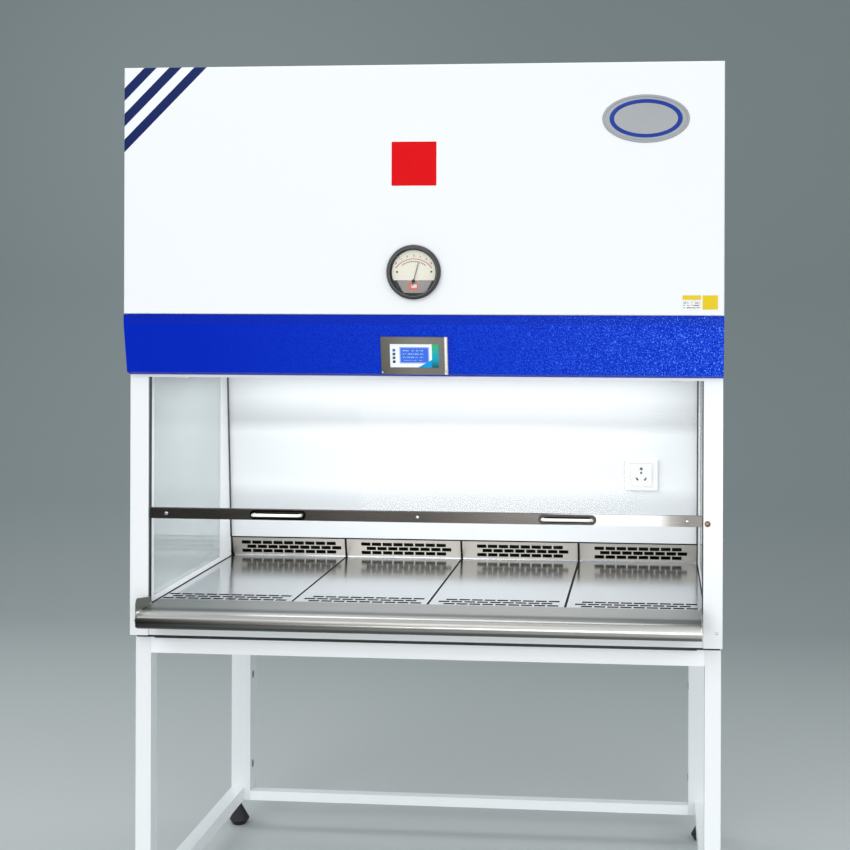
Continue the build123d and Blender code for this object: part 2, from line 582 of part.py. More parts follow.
# ---------------------------------------------------------------- work surface
def slot_grid(columns, pitch_x, pitch_row, stagger, last_x, limit):
    """Centres of staggered slots, counted back from the outer rows' last; none past the limit."""
    centres = []
    for row in range(SLOT_ROWS):
        shift = stagger if row == SLOT_ROWS // 2 else 0.0
        for column in range(columns):
            across = last_x - column * pitch_x + shift
            if abs(across) < limit:
                centres.append((across, (row - (SLOT_ROWS - 1) / 2) * pitch_row))
    return centres


def slot_cutter(plane, centres, depth):
    """Slots with tapered ends, drawn on a plane and cut both ways."""
    half, rise = SLOT_LENGTH / 2, SLOT_HEIGHT / 2
    outline = make_face(Polyline((-half, 0), (-half + rise, rise), (half - rise, rise), (half, 0),
                                 (half - rise, -rise), (-half + rise, -rise), close=True))
    sketch = Sketch() + [Pos(x, y) * outline for x, y in centres]
    return extrude(plane * sketch, depth, both=True)


def tray(index):
    """Lift-out work tray: slotted front, leaning slotted flange along the rear."""
    x_mid = (index - (TRAY_COUNT - 1) / 2) * TRAY_PITCH
    half = (TRAY_PITCH - TRAY_GAP) / 2
    x0, x1 = x_mid - half, x_mid + half
    body = block(x0, x1, TRAY_FRONT_Y, TRAY_REAR_Y, PAN_TOP_Z, TRAY_Z)
    body -= block(x0 + SHEET, x1 - SHEET, TRAY_FRONT_Y + SHEET, TRAY_REAR_Y - SHEET,
                  PAN_TOP_Z - 1, TRAY_Z - SHEET)
    lean = TRAY_FLANGE_LEAN
    body += x_prism([(TRAY_REAR_Y, TRAY_Z - SHEET), (TRAY_REAR_Y - lean, TRAY_FLANGE_Z),
                     (TRAY_REAR_Y - lean - SHEET, TRAY_FLANGE_Z), (TRAY_REAR_Y - SHEET, TRAY_Z - SHEET)],
                    x0, x1)
    flange_plane = Plane(origin=(x_mid, TRAY_REAR_Y - lean / 2, (TRAY_Z + TRAY_FLANGE_Z) / 2),
                         x_dir=(1, 0, 0), z_dir=(0, -(TRAY_FLANGE_Z - TRAY_Z), -lean))
    limit = half - SLOT_LENGTH / 2 - 2 * SHEET
    last_x = (REAR_COLUMNS[index] - 1) / 2 * SLOT_PITCH
    body -= slot_cutter(flange_plane, slot_grid(REAR_COLUMNS[index], SLOT_PITCH, REAR_ROW_PITCH,
                                                SLOT_PITCH / 2, last_x, limit), 3 * SHEET)
    front_plane = Plane(origin=(x_mid, COLUMN_FACE_Y + FRONT_SLOTS_Y, TRAY_Z), z_dir=(0, 0, 1))
    return body - slot_cutter(front_plane, slot_grid(FRONT_COLUMNS[index], FRONT_SLOT_PITCH, FRONT_ROW_PITCH,
                                                     -FRONT_SLOT_PITCH / 2, half - FRONT_SLOT_INSET,
                                                     limit), 3 * SHEET)


def armrest():
    """Stainless armrest: flat, half-round nose, under-fold, end cheeks."""
    half = COLUMN_INNER - ARMREST_CLEARANCE
    nose_y = COLUMN_FACE_Y - ARMREST_REACH + NOSE_RADIUS
    nose_z = ARMREST_Z - NOSE_RADIUS
    rear_y = COLUMN_FACE_Y + ARMREST_REAR
    low_z = ARMREST_Z - 2 * NOSE_RADIUS
    nose = x_rod(NOSE_RADIUS, -half, half, nose_y, nose_z) - x_rod(
        NOSE_RADIUS - SHEET, -half, half, nose_y, nose_z)
    nose -= block(-half - 1, half + 1, nose_y, nose_y + 2 * NOSE_RADIUS, low_z - 1, ARMREST_Z + 1)
    body = nose + block(-half, half, nose_y, rear_y, ARMREST_Z - SHEET, ARMREST_Z)
    body += block(-half, half, rear_y - SHEET, rear_y, PAN_TOP_Z + SEAT, ARMREST_Z)
    sill_y = COLUMN_FACE_Y + SILL_SETBACK - SEAT
    body += block(-half, half, nose_y, sill_y, low_z, low_z + SHEET)
    front_y = COLUMN_FACE_Y - ARMREST_REACH + 1
    cheek_y = COLUMN_FACE_Y - SEAT
    cheek = x_prism([(front_y, low_z + 6), (cheek_y, low_z + 6), (cheek_y, ARMREST_Z + CHEEK_REAR_RISE),
                     (front_y, ARMREST_Z + CHEEK_RISE)], half - SHEET, half)
    corner = cheek.edges().filter_by(Axis.X).sort_by(lambda edge: edge.center().Z - edge.center().Y)[-1]
    cheek = fillet(corner, CHEEK_RADIUS)
    return body + cheek + mirrored(cheek)


# ---------------------------------------------------------------- sash
def sash_glass():
    """Sliding front pane."""
    return block(-GLASS_HALF, GLASS_HALF, GLASS_FRONT_Y, GLASS_BACK_Y, GLASS_BOTTOM_Z, GLASS_TOP_Z)


def rail_channel(half, z0, z1, slot_z0, slot_z1):
    """Channel clamped on a horizontal edge of the sash glass."""
    y0 = COLUMN_FACE_Y + SASH_SETBACK
    rail = block(-half, half, y0, y0 + BAR_DEPTH, z0, z1)
    return rail - block(-half - 1, half + 1, GLASS_FRONT_Y - SEAT, GLASS_BACK_Y + SEAT, slot_z0, slot_z1)


def sash_bar():
    """Stainless bar along the sash's lower edge."""
    top = BAR_Z + BAR_HEIGHT
    return rail_channel(SASH_HALF, BAR_Z, top, BAR_Z + BAR_SEAT - SEAT, top + 1)


def sash_top_rail():
    """Lifting rail along the sash's upper edge, holding both cables."""
    rail = rail_channel(CABLE_X + 20, GLASS_TOP_Z - 15, GLASS_TOP_Z + 12, GLASS_TOP_Z - 16, GLASS_TOP_Z + SEAT)
    return rail


def sash_handles():
    """Two low bow handles, each with its stadium-shaped foot plate."""
    y1 = COLUMN_FACE_Y + SASH_SETBACK - SEAT
    z = BAR_Z + BAR_HEIGHT / 2
    y0 = y1 - HANDLE_REACH + HANDLE_ROD
    reach = HANDLE_LENGTH / 2 - HANDLE_HEIGHT / 2
    bow = Polyline((HANDLE_X - reach, y1 - 1, z), (HANDLE_X - reach, y0 + HANDLE_ROD, z),
                   (HANDLE_X - reach + HANDLE_ROD, y0, z), (HANDLE_X + reach - HANDLE_ROD, y0, z),
                   (HANDLE_X + reach, y0 + HANDLE_ROD, z), (HANDLE_X + reach, y1 - 1, z))
    section = Plane(origin=bow @ 0, z_dir=bow % 0) * RegularPolygon(HANDLE_ROD, 12)
    rod = sweep(section, path=bow, transition=Transition.RIGHT)
    foot = Plane(origin=(HANDLE_X, y1, z), x_dir=(1, 0, 0), z_dir=(0, -1, 0))
    plate = extrude(foot * SlotOverall(HANDLE_LENGTH, HANDLE_HEIGHT), HANDLE_PLATE)
    return both_sides(rod + plate)


def counterweights():
    """Steel blocks that balance the sash."""
    w, d, h = WEIGHT_SIZE
    y = SHAFT_Y + PULLEY_RADIUS
    return both_sides(block(CABLE_X - w / 2, CABLE_X + w / 2, y - d / 2, y + d / 2,
                            WEIGHT_TOP_Z - h, WEIGHT_TOP_Z))


def pulley_shaft():
    """Cross shaft with a grooved pulley for the rope at each end."""
    half = PULLEY_WIDTH / 2
    bearing_x = COLUMN_INNER - 6
    shaft = x_rod(SHAFT_RADIUS, -bearing_x, bearing_x, SHAFT_Y, SHAFT_Z)
    groove = Polyline((SHAFT_RADIUS - 1, -half), (PULLEY_RIM, -half), (PULLEY_RADIUS - CABLE_RADIUS, -1.5),
                      (PULLEY_RADIUS - CABLE_RADIUS, 1.5), (PULLEY_RIM, half), (SHAFT_RADIUS - 1, half),
                      close=True)
    wheel = revolve(Plane.XZ * make_face(groove), Axis.Z)
    for side in (-1, 1):
        shaft += Pos(side * CABLE_X, SHAFT_Y, SHAFT_Z) * Rot(0, 90, 0) * wheel
    return shaft


def shaft_bearings():
    """Hanger plates from the roof that carry the cross shaft."""
    x0 = COLUMN_INNER - 12
    plate = block(x0, x0 + 5, SHAFT_Y - 14, SHAFT_Y + 14, SHAFT_Z - 14, ROOF_Z - SEAT)
    return both_sides(plate - x_rod(SHAFT_RADIUS + RUNNING_FIT, x0 - 1, x0 + 6, SHAFT_Y, SHAFT_Z))


def cable_pair(y, z0):
    """Two straight cable runs from below up to the pulleys."""
    return both_sides(z_rod(CABLE_RADIUS, z0, SHAFT_Z, CABLE_X, y))


# ---------------------------------------------------------------- air system
def filter_box(x_half, y0, y1, z0, z1):
    """Pleated filter: frame and media in one block with recessed faces."""
    box = block(-x_half, x_half, y0, y1, z0, z1)
    f = FILTER_FRAME
    for low, high in ((z0 - 1, z0 + 4), (z1 - 4, z1 + 1)):
        box -= block(-x_half + f, x_half - f, y0 + f, y1 - f, low, high)
    return box


def diffuser():
    """Slotted ceiling sheet of the work chamber."""
    y0 = GLASS_BACK_Y + 8
    sheet = block(-WALL_INNER_X, WALL_INNER_X, y0, BACK_WALL_HEAD_Y + 14, CHAMBER_TOP_Z, CHAMBER_TOP_Z + SHEET)
    across, along = DIFFUSER_GRID
    places = Pos(0, (FILTER_Y0 + FILTER_Y1) / 2, CHAMBER_TOP_Z) * GridLocations(
        2 * SUPPLY_HALF_X / across, FILTER_DEPTH / (along + 1), across, along)
    sheet -= [place * Box(*DIFFUSER_SLOT, 4 * SHEET) for place in places]
    for side in (-1, 1):
        x0, x1 = sorted((side * (SUPPLY_HALF_X - FILTER_FRAME), side * SUPPLY_HALF_X))
        sheet += block(x0, x1, FILTER_Y0, FILTER_Y1, CHAMBER_TOP_Z, SUPPLY_Z - SEAT)
    return sheet


def pressure_plenum():
    """Box that feeds both filters; the fan hangs on its rear wall."""
    z0 = PLENUM_LOW_Z
    box = block(-PLENUM_HALF_X, PLENUM_HALF_X, FILTER_Y0, FILTER_Y1, z0, PLENUM_TOP_Z)
    box -= block(-PLENUM_HALF_X + SHEET, PLENUM_HALF_X - SHEET, FILTER_Y0 + SHEET, FILTER_Y1 - SHEET,
                 z0 - 1, PLENUM_TOP_Z - SHEET)
    y0 = FILTER_Y0 + 2 * FILTER_FRAME
    box -= block(-EXHAUST_HALF_X + FILTER_FRAME, EXHAUST_HALF_X - FILTER_FRAME,
                 y0, y0 + EXHAUST_DEPTH - 2 * FILTER_FRAME, PLENUM_TOP_Z - 5, PLENUM_TOP_Z + 1)
    return box - y_rod(FAN_INLET, FILTER_Y1 - 5, FILTER_Y1 + 1, FAN_X, FAN_Z)


def scroll_outline():
    """Spiral round the fan's axis, run out into a straight outlet that faces down."""
    steps = 24
    points = []
    for step in range(steps + 1):
        turn = radians(-90 + 270 * step / steps)
        radius = SCROLL_START + SCROLL_GROWTH * step / steps
        points.append((FAN_X + radius * cos(turn), FAN_Z + radius * sin(turn)))
    outlet_z = FAN_Z - SCROLL_END
    return points + [(points[-1][0], outlet_z), (points[0][0], outlet_z)]


def blower_housing():
    """Scroll housing: inlet at the rear, motor shaft at the front, outlet below."""
    plane = Plane(origin=(0, HOUSING_Y1, 0), x_dir=(1, 0, 0), z_dir=(0, -1, 0))
    face = make_face(Polyline(*scroll_outline(), close=True))
    housing = extrude(plane * face, SCROLL_DEPTH)
    housing -= extrude(plane.offset(SHEET) * offset(face, -SHEET, kind=Kind.INTERSECTION),
                       SCROLL_DEPTH - 2 * SHEET)
    low_z = FAN_Z - SCROLL_END
    housing -= block(FAN_X - SCROLL_END + SHEET, FAN_X - SHEET,
                     HOUSING_Y0 + SHEET, HOUSING_Y1 - SHEET, low_z - 1, low_z + 2 * SHEET)
    housing -= y_rod(FAN_INLET, HOUSING_Y1 - 5, HOUSING_Y1 + 1, FAN_X, FAN_Z)
    return housing - y_rod(SHAFT_RADIUS + 1, HOUSING_Y0 - 1, HOUSING_Y0 + 5, FAN_X, FAN_Z)


def blower_motor():
    """Motor bolted on the housing's front plate, its shaft towards the rear."""
    y1 = HOUSING_Y0 - SEAT
    can = y_rod(MOTOR_RADIUS, y1 - MOTOR_LENGTH, y1, FAN_X, FAN_Z)
    return can + y_rod(SHAFT_RADIUS, y1 - 1, y1 + 40, FAN_X, FAN_Z)


def blower_rotor():
    """Fan wheel: disc and hub on the motor's shaft, ring of forward-curved blades."""
    y0 = HOUSING_Y0 + SHEET + 5
    y1 = HOUSING_Y1 - SHEET - 4
    wheel = y_rod(FAN_RADIUS, y0, y0 + FAN_DISC, FAN_X, FAN_Z)
    wheel += y_rod(FAN_HUB, y0, y0 + FAN_HUB_LENGTH, FAN_X, FAN_Z)
    wheel += y_rod(FAN_RADIUS, y1 - FAN_DISC, y1, FAN_X, FAN_Z) - y_rod(
        FAN_INLET, y1 - FAN_DISC - 1, y1 + 1, FAN_X, FAN_Z)
    chord = FAN_RADIUS - FAN_INLET - 1
    for blade in range(FAN_BLADES):
        turn = Pos(FAN_X, (y0 + y1) / 2, FAN_Z) * Rot(0, 360 * blade / FAN_BLADES, 0)
        wheel += turn * Pos((FAN_INLET + FAN_RADIUS) / 2, 0, 0) * Rot(0, 35, 0) * Box(chord, y1 - y0, SHEET)
    return wheel - y_rod(SHAFT_RADIUS + RUNNING_FIT, y0 - 1, y0 + FAN_HUB_LENGTH + 1, FAN_X, FAN_Z)


def work_lamp():
    """Fluorescent tube on its batten behind the header."""
    y = GLASS_BACK_Y + LAMP_SETBACK
    half = LAMP_BATTEN / 2
    z = CHAMBER_TOP_Z - 14
    tube = x_rod(LAMP_RADIUS, -LAMP_HALF, LAMP_HALF, y, z)
    holder = block(LAMP_HALF + SEAT, LAMP_HALF + LAMP_BATTEN, y - half, y + half,
                   z - half, CHAMBER_TOP_Z - SEAT)
    batten = block(-LAMP_HALF, LAMP_HALF, y - half, y + half, CHAMBER_TOP_Z - 4, CHAMBER_TOP_Z - SEAT)
    return group(tube, holder, mirrored(holder), batten)


def control_box():
    """Electronics box on the plenum's roof."""
    x0 = EXHAUST_HALF_X + 2 * FILTER_FRAME
    z0 = PLENUM_TOP_Z + SEAT
    y0 = FILTER_Y0 + CONTROL_BOX_SETBACK
    box = block(x0, PLENUM_HALF_X - FILTER_FRAME, y0, y0 + CONTROL_BOX_DEPTH, z0, z0 + CONTROL_BOX_HEIGHT)
    return fillet(box.edges().filter_by(Axis.Z), EDGE_RADIUS)


# ---------------------------------------------------------------- gauge and controls
def gauge_case():
    """Round gauge: domed bezel in front of the panel, body behind it."""
    front = HOOD_Y - GAUGE_PROUD
    outline = Polyline((0, HOOD_Y - SEAT), (GAUGE_RADIUS, HOOD_Y - SEAT), (GAUGE_RADIUS, front + 5),
                       (GAUGE_RADIUS - 5, front), (0, front), close=True)
    case = Pos(GAUGE_X, 0, GAUGE_Z) * revolve(make_face(outline), Axis.Y)
    case += y_rod(GAUGE_BODY_RADIUS, HOOD_Y - SEAT, HOOD_Y + GAUGE_BODY_DEPTH, GAUGE_X, GAUGE_Z)
    return case - y_rod(GAUGE_WINDOW, front - 1, front + GAUGE_PROUD - 1, GAUGE_X, GAUGE_Z)


def gauge_dial():
    """Dial plate, cut straight below, with the pointer's pivot post."""
    y1 = HOOD_Y - 1 - SEAT
    plate = y_rod(DIAL_RADIUS, y1 - 2, y1, GAUGE_X, GAUGE_Z)
    plate -= block(GAUGE_X - DIAL_RADIUS, GAUGE_X + DIAL_RADIUS, y1 - 3, y1 + 1,
                   GAUGE_Z - 2 * DIAL_RADIUS, GAUGE_Z - DIAL_CUT)
    bridge = block(GAUGE_X - 12, GAUGE_X + 12, y1 - 2, y1, GAUGE_Z - DIAL_CUT - 14, GAUGE_Z - DIAL_CUT + 1)
    post = y_rod(1.5, y1 - 7, y1 - 1, GAUGE_X, GAUGE_Z - POINTER_PIVOT)
    return plate + bridge + post


def gauge_pointer():
    """Needle on its hub, leaning to the right at rest."""
    y0, y1 = HOOD_Y - 1 - SEAT - 6.5, HOOD_Y - 1 - SEAT - 3
    pivot_z = GAUGE_Z - POINTER_PIVOT
    hub = y_rod(4.0, y0, y1, GAUGE_X, pivot_z)
    needle = block(-0.7, 0.7, y0 + 1.2, y0 + 2.2, -10, POINTER_LENGTH)
    place = Pos(GAUGE_X, 0, pivot_z) * Rot(0, POINTER_REST, 0)
    return hub + place * needle - y_rod(1.5 + RUNNING_FIT, y0 - 1, y1 + 1, GAUGE_X, pivot_z)


def gauge_lens():
    """Clear lens in the gauge's bezel."""
    front = HOOD_Y - GAUGE_PROUD
    return y_rod(GAUGE_WINDOW - SEAT, front + 1, front + 3.5, GAUGE_X, GAUGE_Z)


def display_bezel():
    """Stainless bezel plate with a window for the overlay."""
    face = display_frame().offset(SEAT)
    plate = extrude(face * RectangleRounded(*BEZEL_SIZE, 3), BEZEL_THICK)
    rim = plate.faces().sort_by(Axis.Y)[0].edges()
    plate = chamfer(rim, 0.8)
    return plate - extrude(face * Rectangle(OVERLAY_SIZE[0] + 2 * SEAT, OVERLAY_SIZE[1] + 2 * SEAT),
                           10, both=True)


def key_places():
    """Key centres on the overlay, from the top down."""
    return [(KEY_X, KEY_TOP - KEY_PITCH * index) for index in range(KEY_COUNT)]


def display_panel():
    """Overlay plate, pocketed for its keys, with the display's body behind."""
    face = display_frame()
    panel = extrude(face.offset(SEAT) * Rectangle(*OVERLAY_SIZE), OVERLAY_THICK)
    panel += extrude(face.offset(SEAT) * Rectangle(*DISPLAY_BOX[:2]), -DISPLAY_BOX[2])
    floor = face.offset(SEAT + OVERLAY_THICK - KEY_THICK + KEY_GAP)
    pockets = Sketch() + [Pos(x, y) * Rectangle(KEY_SIZE + 2 * KEY_GAP, KEY_SIZE + 2 * KEY_GAP)
                          for x, y in key_places()]
    return panel - extrude(floor * pockets, 10)


def display_key(index):
    """One square key, proud of the overlay by less than its travel's seat."""
    x, y = key_places()[index]
    floor = display_frame().offset(SEAT + OVERLAY_THICK - KEY_THICK + KEY_GAP + KEY_TRAVEL + 0.1)
    return extrude(floor * Pos(x, y) * Rectangle(KEY_SIZE, KEY_SIZE), KEY_THICK)


def power_socket():
    """Mains socket on the back wall: bevelled plate, raised insert, box behind."""
    face = wall_frame().offset(SEAT)
    plate = extrude(face * RectangleRounded(SOCKET_PLATE[0], SOCKET_PLATE[1], SOCKET_CORNER), SOCKET_PLATE[2])
    plate = chamfer(plate.faces().sort_by(Axis.Y)[0].edges(), SOCKET_BEVEL)
    seat = face.offset(SOCKET_PLATE[2] - 3)
    pocket = extrude(seat * Rectangle(SOCKET_MODULE[0] + 2 * SEAT, SOCKET_MODULE[1] + 2 * SEAT), 10)
    box = extrude(face * Rectangle(SOCKET_BOX, SOCKET_BOX), -SOCKET_BOX_DEPTH)
    module = extrude(seat.offset(SEAT) * Rectangle(*SOCKET_MODULE[:2]), 3 + SOCKET_MODULE[2])
    front = seat.offset(3 + SOCKET_MODULE[2] + SEAT)
    holes = Sketch() + [Pos(0, 14) * Circle(2.6), Pos(0, 3) * Circle(2.6)]
    holes += [Pos(side * 11, -13) * Rot(0, 0, side * 30) * Rectangle(2.4, 8) for side in (-1, 1)]
    return group(plate + box - pocket, module - extrude(front * holes, -4))


# ---------------------------------------------------------------- write every node
def build():
    """Make each node once and write it."""
    os.makedirs("parts", exist_ok=True)
    front_leg = leg(FRAME_TUBE, LEG_FRONT_Y, FOOT_FRONT_Y)
    rear_leg = leg(REAR_TUBE, LEG_REAR_Y, FOOT_REAR_Y)
    save("leg_front_right", front_leg)
    save("leg_front_left", mirrored(front_leg))
    save("leg_rear_right", rear_leg)
    save("leg_rear_left", mirrored(rear_leg))
    for side, x in (("left", -FOOT_X), ("right", FOOT_X)):
        save("foot_front_" + side, levelling_foot(x, FOOT_FRONT_Y))
        save("foot_rear_" + side, levelling_foot(x, FOOT_REAR_Y))
    save("stand_top_frame", stand_top_frame())
    save("stand_low_rails", stand_low_rails())
    save("isolation_pads", isolation_pads())

    save("base_pan", base_pan())
    save("column_right", column())
    save("column_left", mirrored(column()))
    save("sash_guides", sash_guides())
    save("side_wall_right", side_wall())
    save("side_wall_left", mirrored(side_wall()))
    save("side_glass", side_glass())
    save("inner_back_wall", inner_back_wall())
    save("back_panel", back_panel())
    save("roof_panel", roof_panel())
    save("header_rail", header_rail())
    save("control_fascia", control_fascia())
    save("front_panel", front_panel())
    save("panel_hinge", panel_hinge())

    for index in range(TRAY_COUNT):
        save("work_tray_" + str(index + 1), tray(index))
    save("armrest", armrest())

    save("sash_glass", sash_glass())
    save("sash_bar", sash_bar())
    save("sash_top_rail", sash_top_rail())
    save("sash_handles", sash_handles())
    save("counterweights", counterweights())
    save("pulley_shaft", pulley_shaft())
    save("shaft_bearings", shaft_bearings())
    save("sash_cables", cable_pair(SHAFT_Y - PULLEY_RADIUS, GLASS_TOP_Z + 12))
    save("weight_cables", cable_pair(SHAFT_Y + PULLEY_RADIUS, WEIGHT_TOP_Z))

    save("supply_filter", filter_box(SUPPLY_HALF_X, FILTER_Y0, FILTER_Y1, SUPPLY_Z, SUPPLY_Z + SUPPLY_HEIGHT))
    save("exhaust_filter", filter_box(EXHAUST_HALF_X, FILTER_Y0 + FILTER_FRAME,
                                      FILTER_Y0 + FILTER_FRAME + EXHAUST_DEPTH,
                                      PLENUM_TOP_Z + SEAT, ROOF_Z - SEAT))
    save("ceiling_diffuser", diffuser())
    save("pressure_plenum", pressure_plenum())
    save("blower_housing", blower_housing())
    save("blower_motor", blower_motor())
    save("blower_rotor", blower_rotor())
    save("work_lamp", work_lamp())
    save("control_box", control_box())

    save("gauge_case", gauge_case())
    save("gauge_dial", gauge_dial())
    save("gauge_pointer", gauge_pointer())
    save("gauge_lens", gauge_lens())
    save("display_bezel", display_bezel())
    save("display_panel", display_panel())
    for index in range(KEY_COUNT):
        save("key_" + str(index + 1), display_key(index))
    save("power_socket", power_socket())


build()
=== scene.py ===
from functools import partialmethod

import bpy
import numpy as np
from mathutils import Matrix, Vector


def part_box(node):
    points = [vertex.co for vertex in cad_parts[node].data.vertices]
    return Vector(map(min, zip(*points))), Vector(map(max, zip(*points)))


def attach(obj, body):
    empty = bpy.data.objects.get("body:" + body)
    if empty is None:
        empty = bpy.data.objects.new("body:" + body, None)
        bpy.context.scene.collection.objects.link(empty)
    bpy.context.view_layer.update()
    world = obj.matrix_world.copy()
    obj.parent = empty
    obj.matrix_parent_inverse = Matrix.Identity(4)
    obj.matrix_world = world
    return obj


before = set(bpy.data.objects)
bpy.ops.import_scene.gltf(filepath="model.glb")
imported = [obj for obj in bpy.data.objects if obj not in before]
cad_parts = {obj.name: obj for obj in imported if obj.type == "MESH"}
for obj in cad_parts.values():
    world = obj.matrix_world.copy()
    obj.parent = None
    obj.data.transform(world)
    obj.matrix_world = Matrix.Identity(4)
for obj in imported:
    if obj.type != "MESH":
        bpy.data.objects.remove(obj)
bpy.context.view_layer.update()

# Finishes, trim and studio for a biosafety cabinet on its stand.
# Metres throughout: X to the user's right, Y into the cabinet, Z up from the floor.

bl_info = {
    "name": "Biosafety cabinet dresser",
    "version": (1, 0, 0),
    "blender": (4, 5, 0),
    "location": "3D View > Sidebar > Cabinet",
    "description": "Finishes, trim, dial, display and studio for a biosafety cabinet",
    "category": "Object",
}

MM = 0.001
FRONT = (0, -1, 0)                # towards the user
MOST_SMOOTH = np.radians(28)      # edges that turn more are drawn sharp

# Places read from the CAD frame
PANEL_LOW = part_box("front_panel")[0]
PANEL_FRONT_Y = PANEL_LOW.y
PANEL_LEFT_X = PANEL_LOW.x
HOOD_TOP_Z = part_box("roof_panel")[1].z
COLUMN_FRONT_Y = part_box("column_right")[0].y
WALL_INNER_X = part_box("side_wall_right")[0].x
BACK_INSIDE_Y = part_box("back_panel")[1].y - 0.7 * MM
BAR_LOW, BAR_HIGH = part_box("sash_bar")
BAR_MID_Z = (BAR_LOW.z + BAR_HIGH.z) / 2
GAUGE_LOW, GAUGE_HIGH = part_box("gauge_case")
GAUGE_X = (GAUGE_LOW.x + GAUGE_HIGH.x) / 2
GAUGE_Z = (GAUGE_LOW.z + GAUGE_HIGH.z) / 2
PIVOT_Z = GAUGE_Z - 20 * MM
DIAL_FACE_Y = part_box("gauge_dial")[0].y + 5 * MM
BEZEL_LOW, BEZEL_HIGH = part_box("display_bezel")
OVERLAY_LOW, OVERLAY_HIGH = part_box("display_panel")
PAN_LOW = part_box("base_pan")[0]
REST_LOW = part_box("armrest")[0]
SOCKET_LOW, SOCKET_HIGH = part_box("power_socket")
SOCKET_X = (SOCKET_LOW.x + SOCKET_HIGH.x) / 2
LEG_INNER_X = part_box("leg_rear_left")[1].x

# Inside single CAD pieces, where their boxes don't tell
FOLD_Z = 1.438                    # fold of the fascia
SOCKET_Z = 1.0294                 # middle of the socket's plate
TRAY_TOP_Z = 0.788
FLANGE_LEAN = 13.0 / 52.5         # lean of a tray's rear flange
FRONT_ROW_Y = -0.222              # middle row of a tray's front slots
FRONT_INSET = 28.5 * MM           # last front slot's centre to the tray's right edge
FRONT_PITCH = 30.2 * MM
FRONT_ROW_PITCH = 21 * MM
REAR_PITCH = 29.8 * MM
REAR_ROW_PITCH = 12.1 * MM
REST_HEIGHT = 37 * MM             # armrest's nose
REST_DEPTH = 150 * MM             # armrest, front to rear
NOSE_DEPTH = 18 * MM              # rounded part of the armrest

CORNERS = ("front_left", "front_right", "rear_left", "rear_right")

# Places of the trim
BAR_SCREWS_X = (-0.5907, -0.0085, 0.5966)
COLUMN_SCREW_X = 0.6625
COLUMN_SCREW_Z = 0.757
STUD_X = 0.6417
STUD_Z = 0.999
CORNER_STRIP_X = 0.6385
CORNER_STRIP_FOOT = (0.2530, 0.843)       # y and z of a corner strip's lower end
CORNER_STRIP_HEAD = (0.2190, 1.327)
GAP_SHADOW_Z = 0.7195
LEG_HOLE_Y = 0.390
LEG_HOLES_Z = (0.424, 0.169)

# Textures: ripples per metre, and a stretch
GRINDING = 1500
CLOUDING = 3.5
ORANGE_PEEL = 420
SLOW_DRIFT = 1.6
ONLY_X = (1.0, 0.0, 0.0)          # a pattern that changes along X alone


# ---------------------------------------------------------------- sizes and colours
def length(description, default):
    """A size in metres that the user may change."""
    return bpy.props.FloatProperty(description=description, default=default, unit="LENGTH", precision=4)


def colour(description, default):
    """A colour that the user may change."""
    return bpy.props.FloatVectorProperty(
        description=description, default=default, subtype="COLOR", size=3, min=0.0, max=1.0)


class CABINET_PG_sizes(bpy.types.PropertyGroup):
    """Sizes of the trim that the script adds."""

    stripe_start: length("First corner stripe, from the corner along the panel's top", 0.047)
    stripe_width: length("Width of a corner stripe along the panel's top", 0.029)
    stripe_pitch: length("Distance from one corner stripe to the next", 0.058)
    badge_width: length("Oval badge, side to side", 0.191)
    badge_height: length("Oval badge, top to bottom", 0.1055)
    badge_x: length("Oval badge, right of the middle", 0.5033)
    badge_z: length("Oval badge, above the floor", 1.892)
    label_x: length("Square label, right of the middle", -0.0108)
    label_z: length("Square label, above the floor", 1.796)
    label_width: length("Square label, side to side", 0.101)
    label_height: length("Square label, top to bottom", 0.098)
    plate_x: length("Small plate, right of the middle", 0.6225)
    plate_z: length("Small plate, above the floor", 1.4892)
    plate_width: length("Small plate, side to side", 0.0836)
    plate_height: length("Small plate, top to bottom", 0.037)
    screw_head: length("Diameter of the screw heads on the sash bar", 0.009)
    stud_head: length("Diameter of the round stop on the right column", 0.013)


class CABINET_PG_colours(bpy.types.PropertyGroup):
    """Colours of the finishes."""

    white: colour("Powder coat of the sheet metal", (0.83, 0.85, 0.865))
    blue: colour("Hammer finish of the fascia", (0.0001, 0.020, 0.47))
    navy: colour("Corner stripes", (0.0003, 0.012, 0.10))
    steel: colour("Brushed stainless steel", (0.56, 0.55, 0.53))
    red: colour("Square label", (0.86, 0.008, 0.012))
    glass: colour("Tint of the glass", (0.80, 0.87, 0.88))
    cream: colour("Gauge dial", (0.80, 0.77, 0.66))
    floor: colour("Studio floor", (0.55, 0.58, 0.58))
    wall: colour("Studio backdrop", (0.215, 0.250, 0.256))


# ---------------------------------------------------------------- shader maths
class Value:
    """A number that runs through a material's nodes; arithmetic on it adds Math nodes."""

    def __init__(self, finish, socket):
        self.finish = finish
        self.socket = socket

    def math(self, operation, *others):
        """A Math node on this value and others."""
        inputs = dict(enumerate((self, *others)))
        return self.finish.node("ShaderNodeMath", {"operation": operation}, inputs)

    __add__ = partialmethod(math, "ADD")
    __sub__ = partialmethod(math, "SUBTRACT")
    __mul__ = partialmethod(math, "MULTIPLY")
    __truediv__ = partialmethod(math, "DIVIDE")
    __gt__ = partialmethod(math, "GREATER_THAN")
    __lt__ = partialmethod(math, "LESS_THAN")

    def __rsub__(self, other):
        return self.finish.node("ShaderNodeMath", {"operation": "SUBTRACT"}, {0: other, 1: self})

    def absolute(self):
        return self.math("ABSOLUTE")

    def near_multiple(self, start, step):
        """Distance to the nearest of the places start, start + step, start + 2 step and so on."""
        return (((self - start) / step + 0.5).math("FRACT") - 0.5).absolute() * step

    def between(self, low, high):
        """1 where the value lies between two numbers, else 0."""
        return (self > low) * (self < high)


